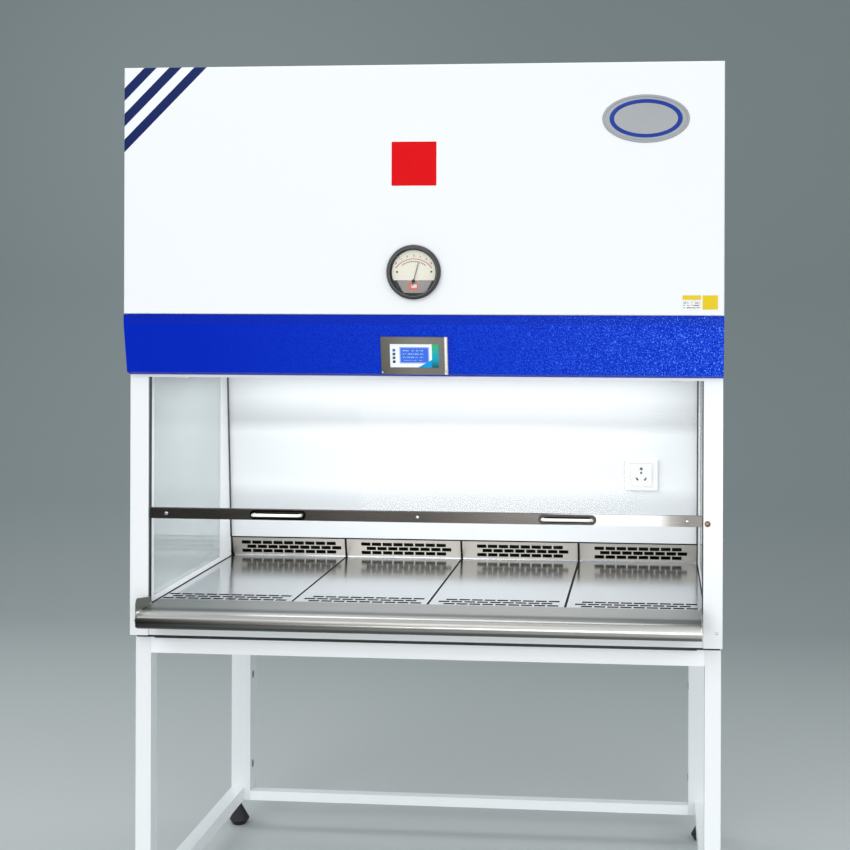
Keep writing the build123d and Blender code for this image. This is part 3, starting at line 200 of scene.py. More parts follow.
class Finish:
    """One material: a Principled shader and the nodes that feed it."""

    def __init__(self, name, **settings):
        self.material = bpy.data.materials.new(name)
        self.material.use_nodes = True
        self.tree = self.material.node_tree
        self.shader = self.tree.nodes["Principled BSDF"]
        for socket, value in settings.items():
            self.set(socket.replace("_", " ").title().replace("Ior", "IOR"), value)

    def feed(self, target, value):
        """Give a socket a link or a value."""
        if isinstance(value, Value):
            self.tree.links.new(value.socket, target)
        else:
            target.default_value = rgba(value) if target.type == "RGBA" else value

    def set(self, socket, value):
        """Feed a shader socket from a number, a colour or a node."""
        self.feed(self.shader.inputs[socket], value)
        return self

    def node(self, kind, settings=None, inputs=None, output=0):
        """Any node: its settings first, then the values or links of its sockets."""
        made = self.tree.nodes.new(kind)
        for key, value in (settings or {}).items():
            if key == "stops":
                self.fill_ramp(made.color_ramp, value)
            else:
                setattr(made, key, value)
        for key, value in (inputs or {}).items():
            self.feed(made.inputs[key], value)
        return Value(self, made.outputs[output])

    @staticmethod
    def fill_ramp(ramp, stops):
        """Set a ramp's stops from (place, colour) pairs."""
        while len(ramp.elements) < len(stops):
            ramp.elements.new(1.0)
        for element, (place, shade) in zip(ramp.elements, stops):
            element.position = place
            element.color = rgba(shade)

    def place(self, stretch=(1.0, 1.0, 1.0)):
        """Object coordinates in metres, stretched by a factor along each axis."""
        made = self.tree.nodes.new("ShaderNodeTexCoord")
        vector = Value(self, made.outputs["Object"])
        return self.node("ShaderNodeMapping", {}, {"Vector": vector, "Scale": stretch})

    def axes(self):
        """The three Object coordinates as numbers."""
        made = self.tree.nodes.new("ShaderNodeTexCoord")
        split = self.tree.nodes.new("ShaderNodeSeparateXYZ")
        self.tree.links.new(made.outputs["Object"], split.inputs[0])
        return [Value(self, split.outputs[index]) for index in range(3)]

    def offset(self, centre_x, centre_z):
        """How far right of and above a centre, on an upright face."""
        x, _, z = self.axes()
        return x - centre_x, z - centre_z

    def paint(self, factor, first, second):
        """Mix the base colour from two colours."""
        return self.set("Base Color", self.blend(factor, first, second))

    def noise(self, scale, detail=2.0, stretch=(1.0, 1.0, 1.0)):
        """Smooth noise from 0 to 1; scale is in ripples per metre."""
        inputs = {"Vector": self.place(stretch), "Scale": scale, "Detail": detail}
        return self.node("ShaderNodeTexNoise", {}, inputs)

    def ramp(self, value, *stops):
        """A ramp from (place, colour) pairs."""
        return self.node("ShaderNodeValToRGB", {"stops": stops}, {"Fac": value})

    def blend(self, factor, first, second, how="MIX"):
        """A colour between two others, or their product where how is MULTIPLY."""
        settings = {"data_type": "RGBA", "blend_type": how}
        return self.node("ShaderNodeMix", settings, {0: factor, 6: first, 7: second}, output=2)

    def bump(self, height, strength, distance):
        """Feed the shader's Normal from a height."""
        return self.set("Normal", self.node("ShaderNodeBump", {}, {
            "Height": height, "Strength": strength, "Distance": distance}))


def rgba(shade):
    """Four numbers from a colour of three or from one grey."""
    return (*shade[:3], 1.0) if hasattr(shade, "__len__") else (shade, shade, shade, 1.0)


def distance(across, above):
    """Distance from a centre."""
    return (across * across + above * above).math("SQRT")


def scaled(tint, share):
    """A colour times a number."""
    return [part * share for part in tint]


def dress(finish, *names):
    """Give a finish to CAD nodes."""
    for name in names:
        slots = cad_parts[name].data.materials
        slots.clear()
        slots.append(finish.material)


def colours():
    """The scene's colours."""
    return bpy.context.scene.cabinet_colours


def sizes():
    """The scene's trim sizes."""
    return bpy.context.scene.cabinet_sizes


# ---------------------------------------------------------------- mesh helpers
def circle(radius, count=48):
    """Points radius * (cos a, sin a) for angles a round the turn."""
    angle = np.linspace(0, 2 * np.pi, count, endpoint=False)
    return np.stack([radius * np.cos(angle), radius * np.sin(angle)], axis=1)


def oval(half_width, half_height, count=96):
    """Points (half_width * cos a, half_height * sin a) for angles a round the turn."""
    return circle(1.0, count) * (half_width, half_height)


def rounded(width, height, radius, per_corner=8):
    """Four quarter circles of the given radius, each centred one radius inside a corner."""
    angle = np.linspace(0, np.pi / 2, per_corner)
    quarter = np.stack([np.cos(angle), np.sin(angle)], axis=1) * radius
    turns = [np.array([[c, s], [-s, c]]) for c, s in ((1, 0), (0, 1), (-1, 0), (0, -1))]
    signs = [(1, 1), (-1, 1), (-1, -1), (1, -1)]
    inner = np.array([width / 2 - radius, height / 2 - radius])
    return np.concatenate([quarter @ turn + inner * sign for turn, sign in zip(turns, signs)])


def cross(radius, depth, count=48):
    """Circle whose radius is raised and lowered four times a turn, like a cross recess."""
    angle = np.linspace(0, 2 * np.pi, count, endpoint=False)
    reach = radius * (1 + depth * np.cos(4 * angle))
    return np.stack([reach * np.cos(angle), reach * np.sin(angle)], axis=1)


def stacked(rings):
    """Closed surface through rings: row i is outline i at height i, shut by a pole at each end."""
    levels = [np.column_stack([outline, np.full(len(outline), height)]) for outline, height in rings]
    ends = [levels[0].mean(axis=0), levels[-1].mean(axis=0)]
    return np.array(levels), np.array(ends)


def facing(origin, normal=FRONT, right=(1, 0, 0)):
    """Axes for a piece on a face: rows are its right, its up and the face's normal."""
    normal = Vector(normal).normalized()
    right = (Vector(right) - normal * normal.dot(Vector(right))).normalized()
    up = normal.cross(right)
    return np.array(origin, float), np.array([right, up, normal], float)


def build_mesh(name, points, faces, finish, body):
    """Put vertices and faces in a new object that rides on a body."""
    mesh = bpy.data.meshes.new(name)
    mesh.from_pydata(points.tolist(), [], faces)
    mesh.polygons.foreach_set("use_smooth", np.ones(len(mesh.polygons), bool))
    mesh.set_sharp_from_angle(angle=MOST_SMOOTH)
    piece = bpy.data.objects.new(name, mesh)
    bpy.context.scene.collection.objects.link(piece)
    mesh.materials.append(finish.material)
    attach(piece, body)


def ring_faces(rows, count, offset):
    """Quads between neighbouring rings, and triangles from each end ring to its pole."""
    row, step = np.meshgrid(np.arange(rows - 1), np.arange(count), indexing="ij")
    here = offset + row * count + step
    beside = offset + row * count + (step + 1) % count
    quads = np.stack([here, beside, beside + count, here + count], axis=-1).reshape(-1, 4)
    first_pole = offset + rows * count
    last_pole = first_pole + 1
    around = np.arange(count)
    following = (around + 1) % count
    top = offset + (rows - 1) * count
    low = np.stack([np.full(count, first_pole), offset + following, offset + around], axis=1)
    high = np.stack([np.full(count, last_pole), top + around, top + following], axis=1)
    return quads.tolist() + low.tolist() + high.tolist()


def stack_piece(name, rings, places, finish, body):
    """One object holding a stacked form at each place."""
    levels, ends = stacked(rings)
    rows, count = levels.shape[:2]
    local = np.concatenate([levels.reshape(-1, 3), ends])
    points, faces = [], []
    for origin, axes in places:
        faces += ring_faces(rows, count, len(points) * len(local))
        points.append(local @ axes + origin)
    build_mesh(name, np.concatenate(points), faces, finish, body)


def pan_head(radius):
    """Rings of a low domed screw head with a cross recess."""
    rim = [(circle(radius * share), radius * height) for share, height in
           ((1.0, -0.3), (1.0, 0.15), (0.93, 0.36), (0.75, 0.52), (0.6, 0.58))]
    return rim + [(cross(radius * 0.36, 0.45), radius * 0.6), (cross(radius * 0.3, 0.45), radius * 0.2)]


def sticker(width, height, radius, thick):
    """Rings of a thin plate with softened edges."""
    return [(rounded(width, height, radius), -thick), (rounded(width, height, radius), thick * 0.6),
            (rounded(width - thick, height - thick, radius), thick)]


def slab(outline, low, high):
    """Rings of a flat piece with upright sides."""
    return [(outline, low), (outline, high)]


def strip(name, start, end, width, depth, finish, body):
    """Straight strip between two points; its outline is a rounded rectangle of width by depth."""
    start, end = Vector(start), Vector(end)
    outline = rounded(width, depth, min(width, depth) * 0.4, 4)
    rings = slab(outline, 0.0, (end - start).length)
    stack_piece(name, rings, [facing(start, end - start)], finish, body)


# ---------------------------------------------------------------- finishes
def orange_peel(finish):
    """Faint dimples of baked powder coat."""
    return finish.bump(finish.noise(ORANGE_PEEL, 2.0), 0.06, 0.0006)


def coated(name, gloss):
    """Baked powder coat without its colour, and the slow drift of its gloss."""
    finish = Finish(name, coat_weight=0.15, coat_roughness=0.12)
    drift = finish.noise(SLOW_DRIFT, 1.0)
    finish.set("Roughness", drift * 0.08 + (gloss - 0.04))
    return orange_peel(finish), drift


def powder_coat(name, tint, gloss=0.32):
    """Powder coat in one colour."""
    finish, drift = coated(name, gloss)
    return finish.paint(drift, tint, [min(1.0, part) for part in scaled(tint, 1.03)])


def half_painted(name, tint, inside):
    """Powder coat outside, and painted shade, nearly black, where inside(x, y, z) is 1."""
    finish, _ = coated(name, 0.32)
    mask = inside(*finish.axes())
    cloud = finish.noise(9, 2.0)
    # Painted shade: the near-black colour laid where the mask is 1.
    painted_shade = finish.blend(cloud, (0.018, 0.018, 0.019), (0.03, 0.03, 0.031))
    return finish.paint(mask, finish.blend(cloud, tint, scaled(tint, 0.98)), painted_shade)


def striped_coat():
    """The panel's white coat with diagonal stripes across its upper left corner."""
    size = sizes()
    finish = Finish("panel_white", specular_ior_level=0.12)
    x, _, z = finish.axes()
    along = (x - PANEL_LEFT_X) + (HOOD_TOP_Z - z)
    mask = 0.0
    for index in range(3):
        start = size.stripe_start + index * size.stripe_pitch
        mask = along.between(start, start + size.stripe_width) + mask
    finish.paint(mask, colours().white, colours().navy)
    finish.set("Roughness", finish.noise(SLOW_DRIFT, 1.0) * 0.08 + 0.36)
    return orange_peel(finish)


def hammer_paint():
    """Blue hammer finish with pits and flecks; the flecks are painted lighter to the right, a painted
    highlight, and the face above the fold painted darker, a painted shade.
    """
    finish = Finish("fascia_blue", specular_ior_level=0.07)
    pits = finish.node("ShaderNodeTexVoronoi", {}, {"Vector": finish.place(), "Scale": 260.0})
    grain = finish.noise(360, 2.0)
    x, _, z = finish.axes()
    # Painted light: flecks and sparks lighter towards the right; painted shade: the upright face above the
    # fold darker.
    fleck = finish.ramp(grain, (0.45, 0.0), (0.58, 1.0)) * (x * 0.70 + 0.34)
    spark = finish.ramp(grain, (0.60, 0.0), (0.70, 1.0)) * (x * 1.7 - 0.30).math("MAXIMUM", 0.0)
    upright = (z > FOLD_Z) * 0.35
    flecked = finish.blend(fleck, colours().blue, (0.006, 0.105, 0.90))
    painted = finish.blend(upright, flecked, (0.0001, 0.010, 0.25))
    finish.paint(spark, painted, (0.25, 0.42, 0.95))
    finish.set("Roughness", finish.noise(60, 2.0) * 0.16 + 0.3)
    return finish.bump(pits * 0.6 + grain * 0.4, 0.35, 0.0012)


def ground(name, along="x", depth=0.1):
    """Bare metal without its colour, its grinding lines along one axis, and its slow clouding."""
    finish = Finish(name, metallic=1.0)
    lines = finish.noise(GRINDING, 3.0, tuple(0.012 if axis == along else 1.0 for axis in "xyz"))
    cloud = finish.noise(CLOUDING, 2.0)
    return finish.bump(lines, depth, 0.0002), lines, cloud


def satin(lines, cloud, rough):
    """Roughness of brushed metal."""
    return lines * 0.14 + cloud * 0.1 + (rough - 0.1)


def brushed(name, tint, along="x", rough=0.27, depth=0.1):
    """Metal in one colour with grinding lines along one axis."""
    finish, lines, cloud = ground(name, along, depth)
    finish.paint(lines * 0.6 + cloud * 0.4, scaled(tint, 0.8), tint)
    return finish.set("Roughness", satin(lines, cloud, rough))


def slot_rims(x, rise, last, pitch, row_pitch, shift, columns, half_height):
    """1 on the rims of three rows of slots.

    rise is measured from the middle row, which is moved by shift; last is the centre of the outer
    rows' right slot; columns is how many slots an outer row and the middle row have.
    """
    mask = 0.0
    for row in (-1, 0, 1):
        end = last + shift if row == 0 else last
        count = columns[1] if row == 0 else columns[0]
        inside = x.between(end - (count - 0.5) * pitch, end + 0.5 * pitch)
        near = x.near_multiple(end, pitch) < 12.8 * MM
        mask = near * inside * ((rise - row * row_pitch).absolute() < half_height) + mask
    return mask


def tray_steel(index, tint):
    """Brushed tray; its slot rims, cut edges, seams and underside carry painted shade, nearly black."""
    low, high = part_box("work_tray_" + str(index))
    middle_x, half_width = (low.x + high.x) / 2, (high.x - low.x) / 2
    front_columns, rear_columns = ((10, 9), (9, 9)) if index == 1 else ((9, 9), (8, 8))
    finish, lines, cloud = ground("tray_steel_" + str(index), "x", 0.04)
    x, y, z = finish.axes()
    raised = z > TRAY_TOP_Z + 3 * MM
    flange = raised * (y > high.y - 40 * MM)
    behind = (y + (z - TRAY_TOP_Z + 1.5 * MM) * FLANGE_LEAN) > high.y - 1.2 * MM
    under = (z < TRAY_TOP_Z - 0.15 * MM) * (y < high.y - 4 * MM)
    seam = (x - middle_x).absolute() > half_width - 1.9 * MM
    front_rims = slot_rims(x, y - FRONT_ROW_Y, high.x - FRONT_INSET, FRONT_PITCH, FRONT_ROW_PITCH,
                           -FRONT_PITCH / 2, front_columns, 6.6 * MM)
    last_rear = middle_x + (rear_columns[0] - 1) / 2 * REAR_PITCH
    rear_rims = slot_rims(x, z - (TRAY_TOP_Z + high.z) / 2, last_rear, REAR_PITCH, REAR_ROW_PITCH,
                          REAR_PITCH / 2, rear_columns, 4.7 * MM)
    # Painted shade: slot rims, cut edges, seams, the flange's back and the underside are made nearly black.
    dark = (behind + under + seam + front_rims + rear_rims * raised).math("MINIMUM", 1.0)
    flat = finish.blend(lines * 0.6 + cloud * 0.4, scaled(tint, 0.82), tint)
    steel = finish.blend(flange, flat, (0.50, 0.47, 0.42))
    finish.paint(dark, steel, 0.004)
    finish.set("Metallic", 1.0 - dark)
    return finish.set("Roughness", (lines * 0.12 + 0.10) + (flange * 0.26 + dark * 0.75))


def faded_steel(name, dark, light):
    """Brushed bar with a painted reflection: dark on the left, satin white on the right, dark again at its
    end.
    """
    finish, lines, cloud = ground(name, "x", 0.08)
    x, _, _ = finish.axes()
    drift = finish.noise(2.4, 2.0, ONLY_X)
    place = x / 1.3 + 0.5 + (drift - 0.5) * 0.3
    # Painted reflection along the bar, from its left end to its right end.
    shade = finish.ramp(place, (0.0, dark), (0.50, scaled(dark, 0.42)), (0.70, scaled(dark, 1.1)),
                        (0.80, light), (0.93, light), (0.965, scaled(dark, 4)), (1.0, scaled(dark, 2)))
    finish.paint(lines * 0.35, shade, scaled(dark, 0.6))
    finish.set("Metallic", finish.ramp(place, (0.6, 1.0), (0.72, 0.6), (0.82, 0.12)))
    return finish.set("Roughness", satin(lines, cloud, 0.26))


def armrest_steel():
    """Polished armrest with painted reflections: a dark line where the flat turns into the nose, bright
    above, darker below, and grey end cheeks.
    """
    finish, lines, cloud = ground("armrest_steel", "x", 0.03)
    x, y, z = finish.axes()
    waver = (finish.noise(1.7, 1.0, ONLY_X) - 0.5) * 0.004
    right = finish.ramp(x / 1.25 + 0.5, (0.0, 0.0), (1.0, 1.0))
    run = (y - REST_LOW.y + waver) / REST_DEPTH
    rise = (z - REST_LOW.z + waver) / REST_HEIGHT
    # Painted reflections: these ramps set the light and dark bands of the flat and the nose.
    flat_left = finish.ramp(run, (0.12, 0.8), (0.2, 0.55), (0.27, 0.10), (0.36, 0.12), (0.5, 0.32),
                            (1.0, 0.30))
    flat_right = finish.ramp(run, (0.12, 0.04), (0.32, 0.06), (0.44, 0.38), (1.0, 0.42))
    nose_left = finish.ramp(rise, (0.0, 0.10), (0.3, 0.05), (0.72, 0.02), (0.82, 0.5), (1.0, 0.8))
    nose_right = finish.ramp(rise, (0.0, 0.20), (0.22, 0.24), (0.36, 0.75), (0.8, 0.72), (1.0, 0.2))
    flat = finish.blend(right, flat_left, flat_right)
    nose = finish.blend(right, nose_left, nose_right)
    rest = finish.blend(y < REST_LOW.y + NOSE_DEPTH, flat, nose)
    shade = finish.blend(z > REST_LOW.z + REST_HEIGHT + 3 * MM, rest, (0.28, 0.30, 0.29))
    warm = finish.blend(1.0, shade, (1.0, 0.985, 0.93), "MULTIPLY")
    finish.paint(lines * 0.25, warm, (0.05, 0.05, 0.048))
    return finish.set("Roughness", satin(lines, cloud, 0.30))


def bezel_steel():
    """Satin bezel with painted light: lighter to the right, with a painted highlight on its folded edge."""
    finish = Finish("bezel_steel", roughness=0.32, metallic=0.55)
    x, _, _ = finish.axes()
    across = (x - BEZEL_LOW.x) / (BEZEL_HIGH.x - BEZEL_LOW.x)
    lines = finish.noise(900, 2.0, (0.02, 1.0, 1.0))
    # Painted light: darker on the left, lighter to the right, and a painted highlight on the folded edge.
    shade = finish.ramp(across, (0.0, (0.11, 0.105, 0.09)), (0.5, (0.20, 0.195, 0.17)),
                        (0.945, (0.17, 0.165, 0.145)), (0.955, (0.95, 0.95, 0.92)),
                        (0.985, (0.9, 0.9, 0.88)), (0.99, (0.3, 0.3, 0.28)))
    finish.paint(lines * 0.4, shade, (0.12, 0.115, 0.10))
    return finish.bump(lines, 0.04, 0.0002)


def handle_steel():
    """Polished bow on a foot plate, with painted reflections: the plate's flat face and the bow's lower half
    dark as the mirrored dark room, the upper half bright.
    """
    finish, lines, cloud = ground("handle_steel", "x", 0.02)
    _, y, z = finish.axes()
    plate = y > BAR_LOW.y - 2.4 * MM
    lower = z < BAR_MID_Z - 1.2 * MM
    # Painted reflection: the plate and the bow's lower half dark, the upper half bright.
    finish.paint((plate + lower) > 0.5, (0.93, 0.93, 0.90), (0.022, 0.020, 0.017))
    finish.set("Metallic", finish.blend(plate + lower, 0.35, 1.0))
    return finish.set("Roughness", satin(lines, cloud, 0.14))


def grained(name, rough, grain, sheen):
    """Plastic, rubber or print without its colour, with a fine matte grain, and its clouding."""
    finish = Finish(name, specular_ior_level=sheen)
    cloud = finish.noise(30, 2.0)
    finish.set("Roughness", cloud * 0.14 + (rough - 0.07))
    return finish.bump(finish.noise(1400, 2.0), grain, 0.0004), cloud


def moulded(name, tint, rough=0.45, grain=0.08, sheen=0.5):
    """Moulded plastic, rubber or print in one colour."""
    finish, cloud = grained(name, rough, grain, sheen)
    return finish.paint(cloud, scaled(tint, 0.88), tint)


def clear_glass(name, tint, cover):
    """Clear sheet: a share of tint, a painted reflection, and gloss over what lies behind it."""
    finish = Finish(name, base_color=tint, coat_weight=1.0, coat_roughness=0.02)
    smear = finish.noise(4, 2.0)
    finish.set("Roughness", smear * 0.05 + 0.02)
    # The tinted share is a painted reflection on the pane.
    finish.set("Alpha", smear * (cover * 0.3) + cover * 0.85)
    finish.material.surface_render_method = "DITHERED"
    return finish


def waves(finish, direction, scale):
    """Even bands across a direction; scale is in bands per metre, about."""
    inputs = {"Vector": finish.place(), "Scale": scale}
    return finish.node("ShaderNodeTexWave", {"bands_direction": direction}, inputs)


def pleated(name, tint):
    """Filter paper folded in close pleats along X, with painted shade in the valleys."""
    finish = Finish(name, roughness=0.9)
    folds = waves(finish, "X", 60.0)
    # Painted shade in the valleys of the pleats.
    finish.paint(folds, scaled(tint, 0.5), tint)
    return finish.bump(folds, 0.8, 0.003)


def laid_rope(name):
    """Wire rope: bright strands with painted shade in the helical grooves between them."""
    finish = Finish(name, metallic=1.0, roughness=0.35)
    lay = waves(finish, "DIAGONAL", 260.0)
    # Painted shade in the grooves.
    finish.paint(lay, 0.12, 0.62)
    return finish.bump(lay, 0.6, 0.0005)


def pan_inside(x, y, z):
    """1 on the inside of the drain pan, where shade is painted nearly black."""
    return (y > PAN_LOW.y + MM) * (z > PAN_LOW.z + MM)


def hood_inside(x, y, z):
    """1 on the inner face of the back panel, where shade is painted nearly black."""
    return y < BACK_INSIDE_Y


def reveal_shade(x, y, z):
    """Part of 1 on the shaded rear end of the window's deep frame."""
    return x.absolute().between(WALL_INNER_X + 2 * MM, WALL_INNER_X + 34 * MM) * (y > 0.15) * 0.4


def chamber_coat(tint):
    """White liner with soft grey bands of painted reflection and shade from the sash and the hood."""
    finish = Finish("chamber_white", roughness=0.4, coat_weight=0.06, coat_roughness=0.2)
    _, _, z = finish.axes()
    height = z + finish.noise(2.2, 1.0) * 0.02
    # Painted reflection and shade: grey bands high and low on the liner.
    upper = finish.ramp((height - 1.14) / 0.10, (0.0, 0.0), (0.35, 1.0), (0.6, 0.7), (1.0, 0.0))
    lower = finish.ramp((height - 0.84) / 0.16, (0.0, 0.25), (0.35, 0.4), (0.62, 1.0), (0.78, 0.8),
                        (1.0, 0.0))
    finish.paint(upper * 0.36 + lower * 0.32, tint, (0.12, 0.14, 0.17))
    return finish.bump(finish.noise(3.0, 1.0), 0.12, 0.004)


class CABINET_OT_sheet_metal(bpy.types.Operator):
    """Paint the sheet metal of the cabinet, its hood and its stand"""

    bl_idname = "cabinet.sheet_metal"
    bl_label = "Paint sheet metal"

    def execute(self, context):
        white = colours().white
        dress(powder_coat("cabinet_white", white), "column_left", "column_right", "roof_panel", "header_rail",
              "panel_hinge", "ceiling_diffuser")
        dress(half_painted("wall_white", white, reveal_shade), "side_wall_left", "side_wall_right")
        dress(half_painted("pan_white", white, pan_inside), "base_pan")
        dress(half_painted("back_white", white, hood_inside), "back_panel")
        dress(chamber_coat(white), "inner_back_wall")
        # The rails' coat is the white made lighter, as painted light against the armrest's shadow on the
        # front rail; the legs' coat is a slightly darker copy.
        dress(powder_coat("rail_white", scaled(white, 1.1), 0.38), "stand_top_frame", "stand_low_rails")
        dress(powder_coat("stand_white", scaled(white, 0.97), 0.38), *["leg_" + corner for corner in CORNERS])
        dress(striped_coat(), "front_panel")
        dress(hammer_paint(), "control_fascia")
        return {"FINISHED"}


class CABINET_OT_steel(bpy.types.Operator):
    """Finish the stainless and plain metal pieces"""

    bl_idname = "cabinet.steel"
    bl_label = "Finish steel"

    def execute(self, context):
        steel = colours().steel
        for index in range(1, 5):
            dress(tray_steel(index, (0.77, 0.785, 0.80)), "work_tray_" + str(index))
        dress(armrest_steel(), "armrest")
        dress(faded_steel("bar_steel", (0.09, 0.082, 0.075), (0.85, 0.85, 0.84)), "sash_bar")
        dress(brushed("rail_steel", steel, "x", 0.26), "sash_top_rail")
        dress(bezel_steel(), "display_bezel")
        dress(handle_steel(), "sash_handles")
        dress(brushed("shaft_steel", steel, "y", 0.3), "pulley_shaft", "shaft_bearings")
        dress(brushed("zinc_sheet", (0.6, 0.62, 0.63), "z", 0.42, 0.05), "pressure_plenum", "blower_housing",
              "blower_rotor")
        dress(moulded("cast_weight", (0.09, 0.09, 0.095), 0.6, 0.5), "counterweights", "blower_motor")
        dress(laid_rope("wire_rope"), "sash_cables", "weight_cables")
        return {"FINISHED"}


def gauge_case_finish():
    """Dark grey bezel ring round a black inside, with a painted highlight on the ring's inner edge."""
    finish = Finish("gauge_black", metallic=0.3)
    radius = distance(*finish.offset(GAUGE_X, GAUGE_Z))
    # The band at 0.27 is a painted highlight on the ring's inner edge.
    ring = finish.ramp((radius - 50 * MM) / (11 * MM), (0.0, 0.003), (0.24, 0.004), (0.27, 0.14),
                       (0.45, 0.05), (0.8, 0.075), (1.0, 0.02))
    cloud = finish.noise(40, 2.0)
    finish.paint(cloud * 0.3, ring, 0.03)
    return finish.set("Roughness", cloud * 0.12 + 0.26)


def socket_finish(tint):
    """White moulding with painted shade in the joint round its insert and along its edge, and in two round
    pin holes and two slanted ones.
    """
    finish, _ = grained("socket_white", 0.3, 0.08, 0.5)
    across, above = finish.offset(SOCKET_X, SOCKET_Z)
    reach = (across.absolute() + MM).math("MAXIMUM", above.absolute())
    joint = reach.between(29.5 * MM, 30.8 * MM)
    edge = reach > 44.5 * MM
    side_x, side_z = across.absolute() - 11 * MM, above + 11.5 * MM
    along, beside = side_x * 0.6 + side_z * 0.8, side_x * 0.8 - side_z * 0.6
    holes = (along.absolute() < 5 * MM) * (beside.absolute() < 2.2 * MM)
    for height, radius in ((16 * MM, 4.2 * MM), (5 * MM, 3.4 * MM)):
        holes = (distance(across, above - height) < radius) + holes
    # Painted shade in the joint, along the edge and in the pin holes.
    shaded = finish.blend(joint * 0.35 + edge * 0.2, tint, 0.2)
    return finish.paint(holes, shaded, 0.01)


class CABINET_OT_plastics(bpy.types.Operator):
    """Finish the glass, plastic, rubber and filter pieces"""

    bl_idname = "cabinet.plastics"
    bl_label = "Finish glass and plastic"

    def execute(self, context):
        tint = colours().glass
        dress(clear_glass("sash_pane", tint, 0.04), "sash_glass")
        dress(clear_glass("side_pane", [part * 0.88 for part in tint], 0.50), "side_glass")
        dress(clear_glass("gauge_pane", tint, 0.015), "gauge_lens")
        dress(moulded("rubber_black", (0.012, 0.012, 0.013), 0.55, 0.3), "isolation_pads",
              *["foot_" + corner for corner in CORNERS])
        dress(moulded("guide_grey", (0.045, 0.047, 0.05), 0.5), "sash_guides")
        dress(gauge_case_finish(), "gauge_case")
        dress(moulded("pointer_black", (0.01, 0.01, 0.01), 0.5), "gauge_pointer")
        dress(socket_finish((0.86, 0.86, 0.85)), "power_socket")
        dress(moulded("lamp_white", (0.85, 0.86, 0.86), 0.2), "work_lamp")
        dress(moulded("box_grey", (0.3, 0.31, 0.32), 0.5), "control_box")
        dress(pleated("filter_paper", (0.8, 0.79, 0.74)), "supply_filter", "exhaust_filter")
        return {"FINISHED"}


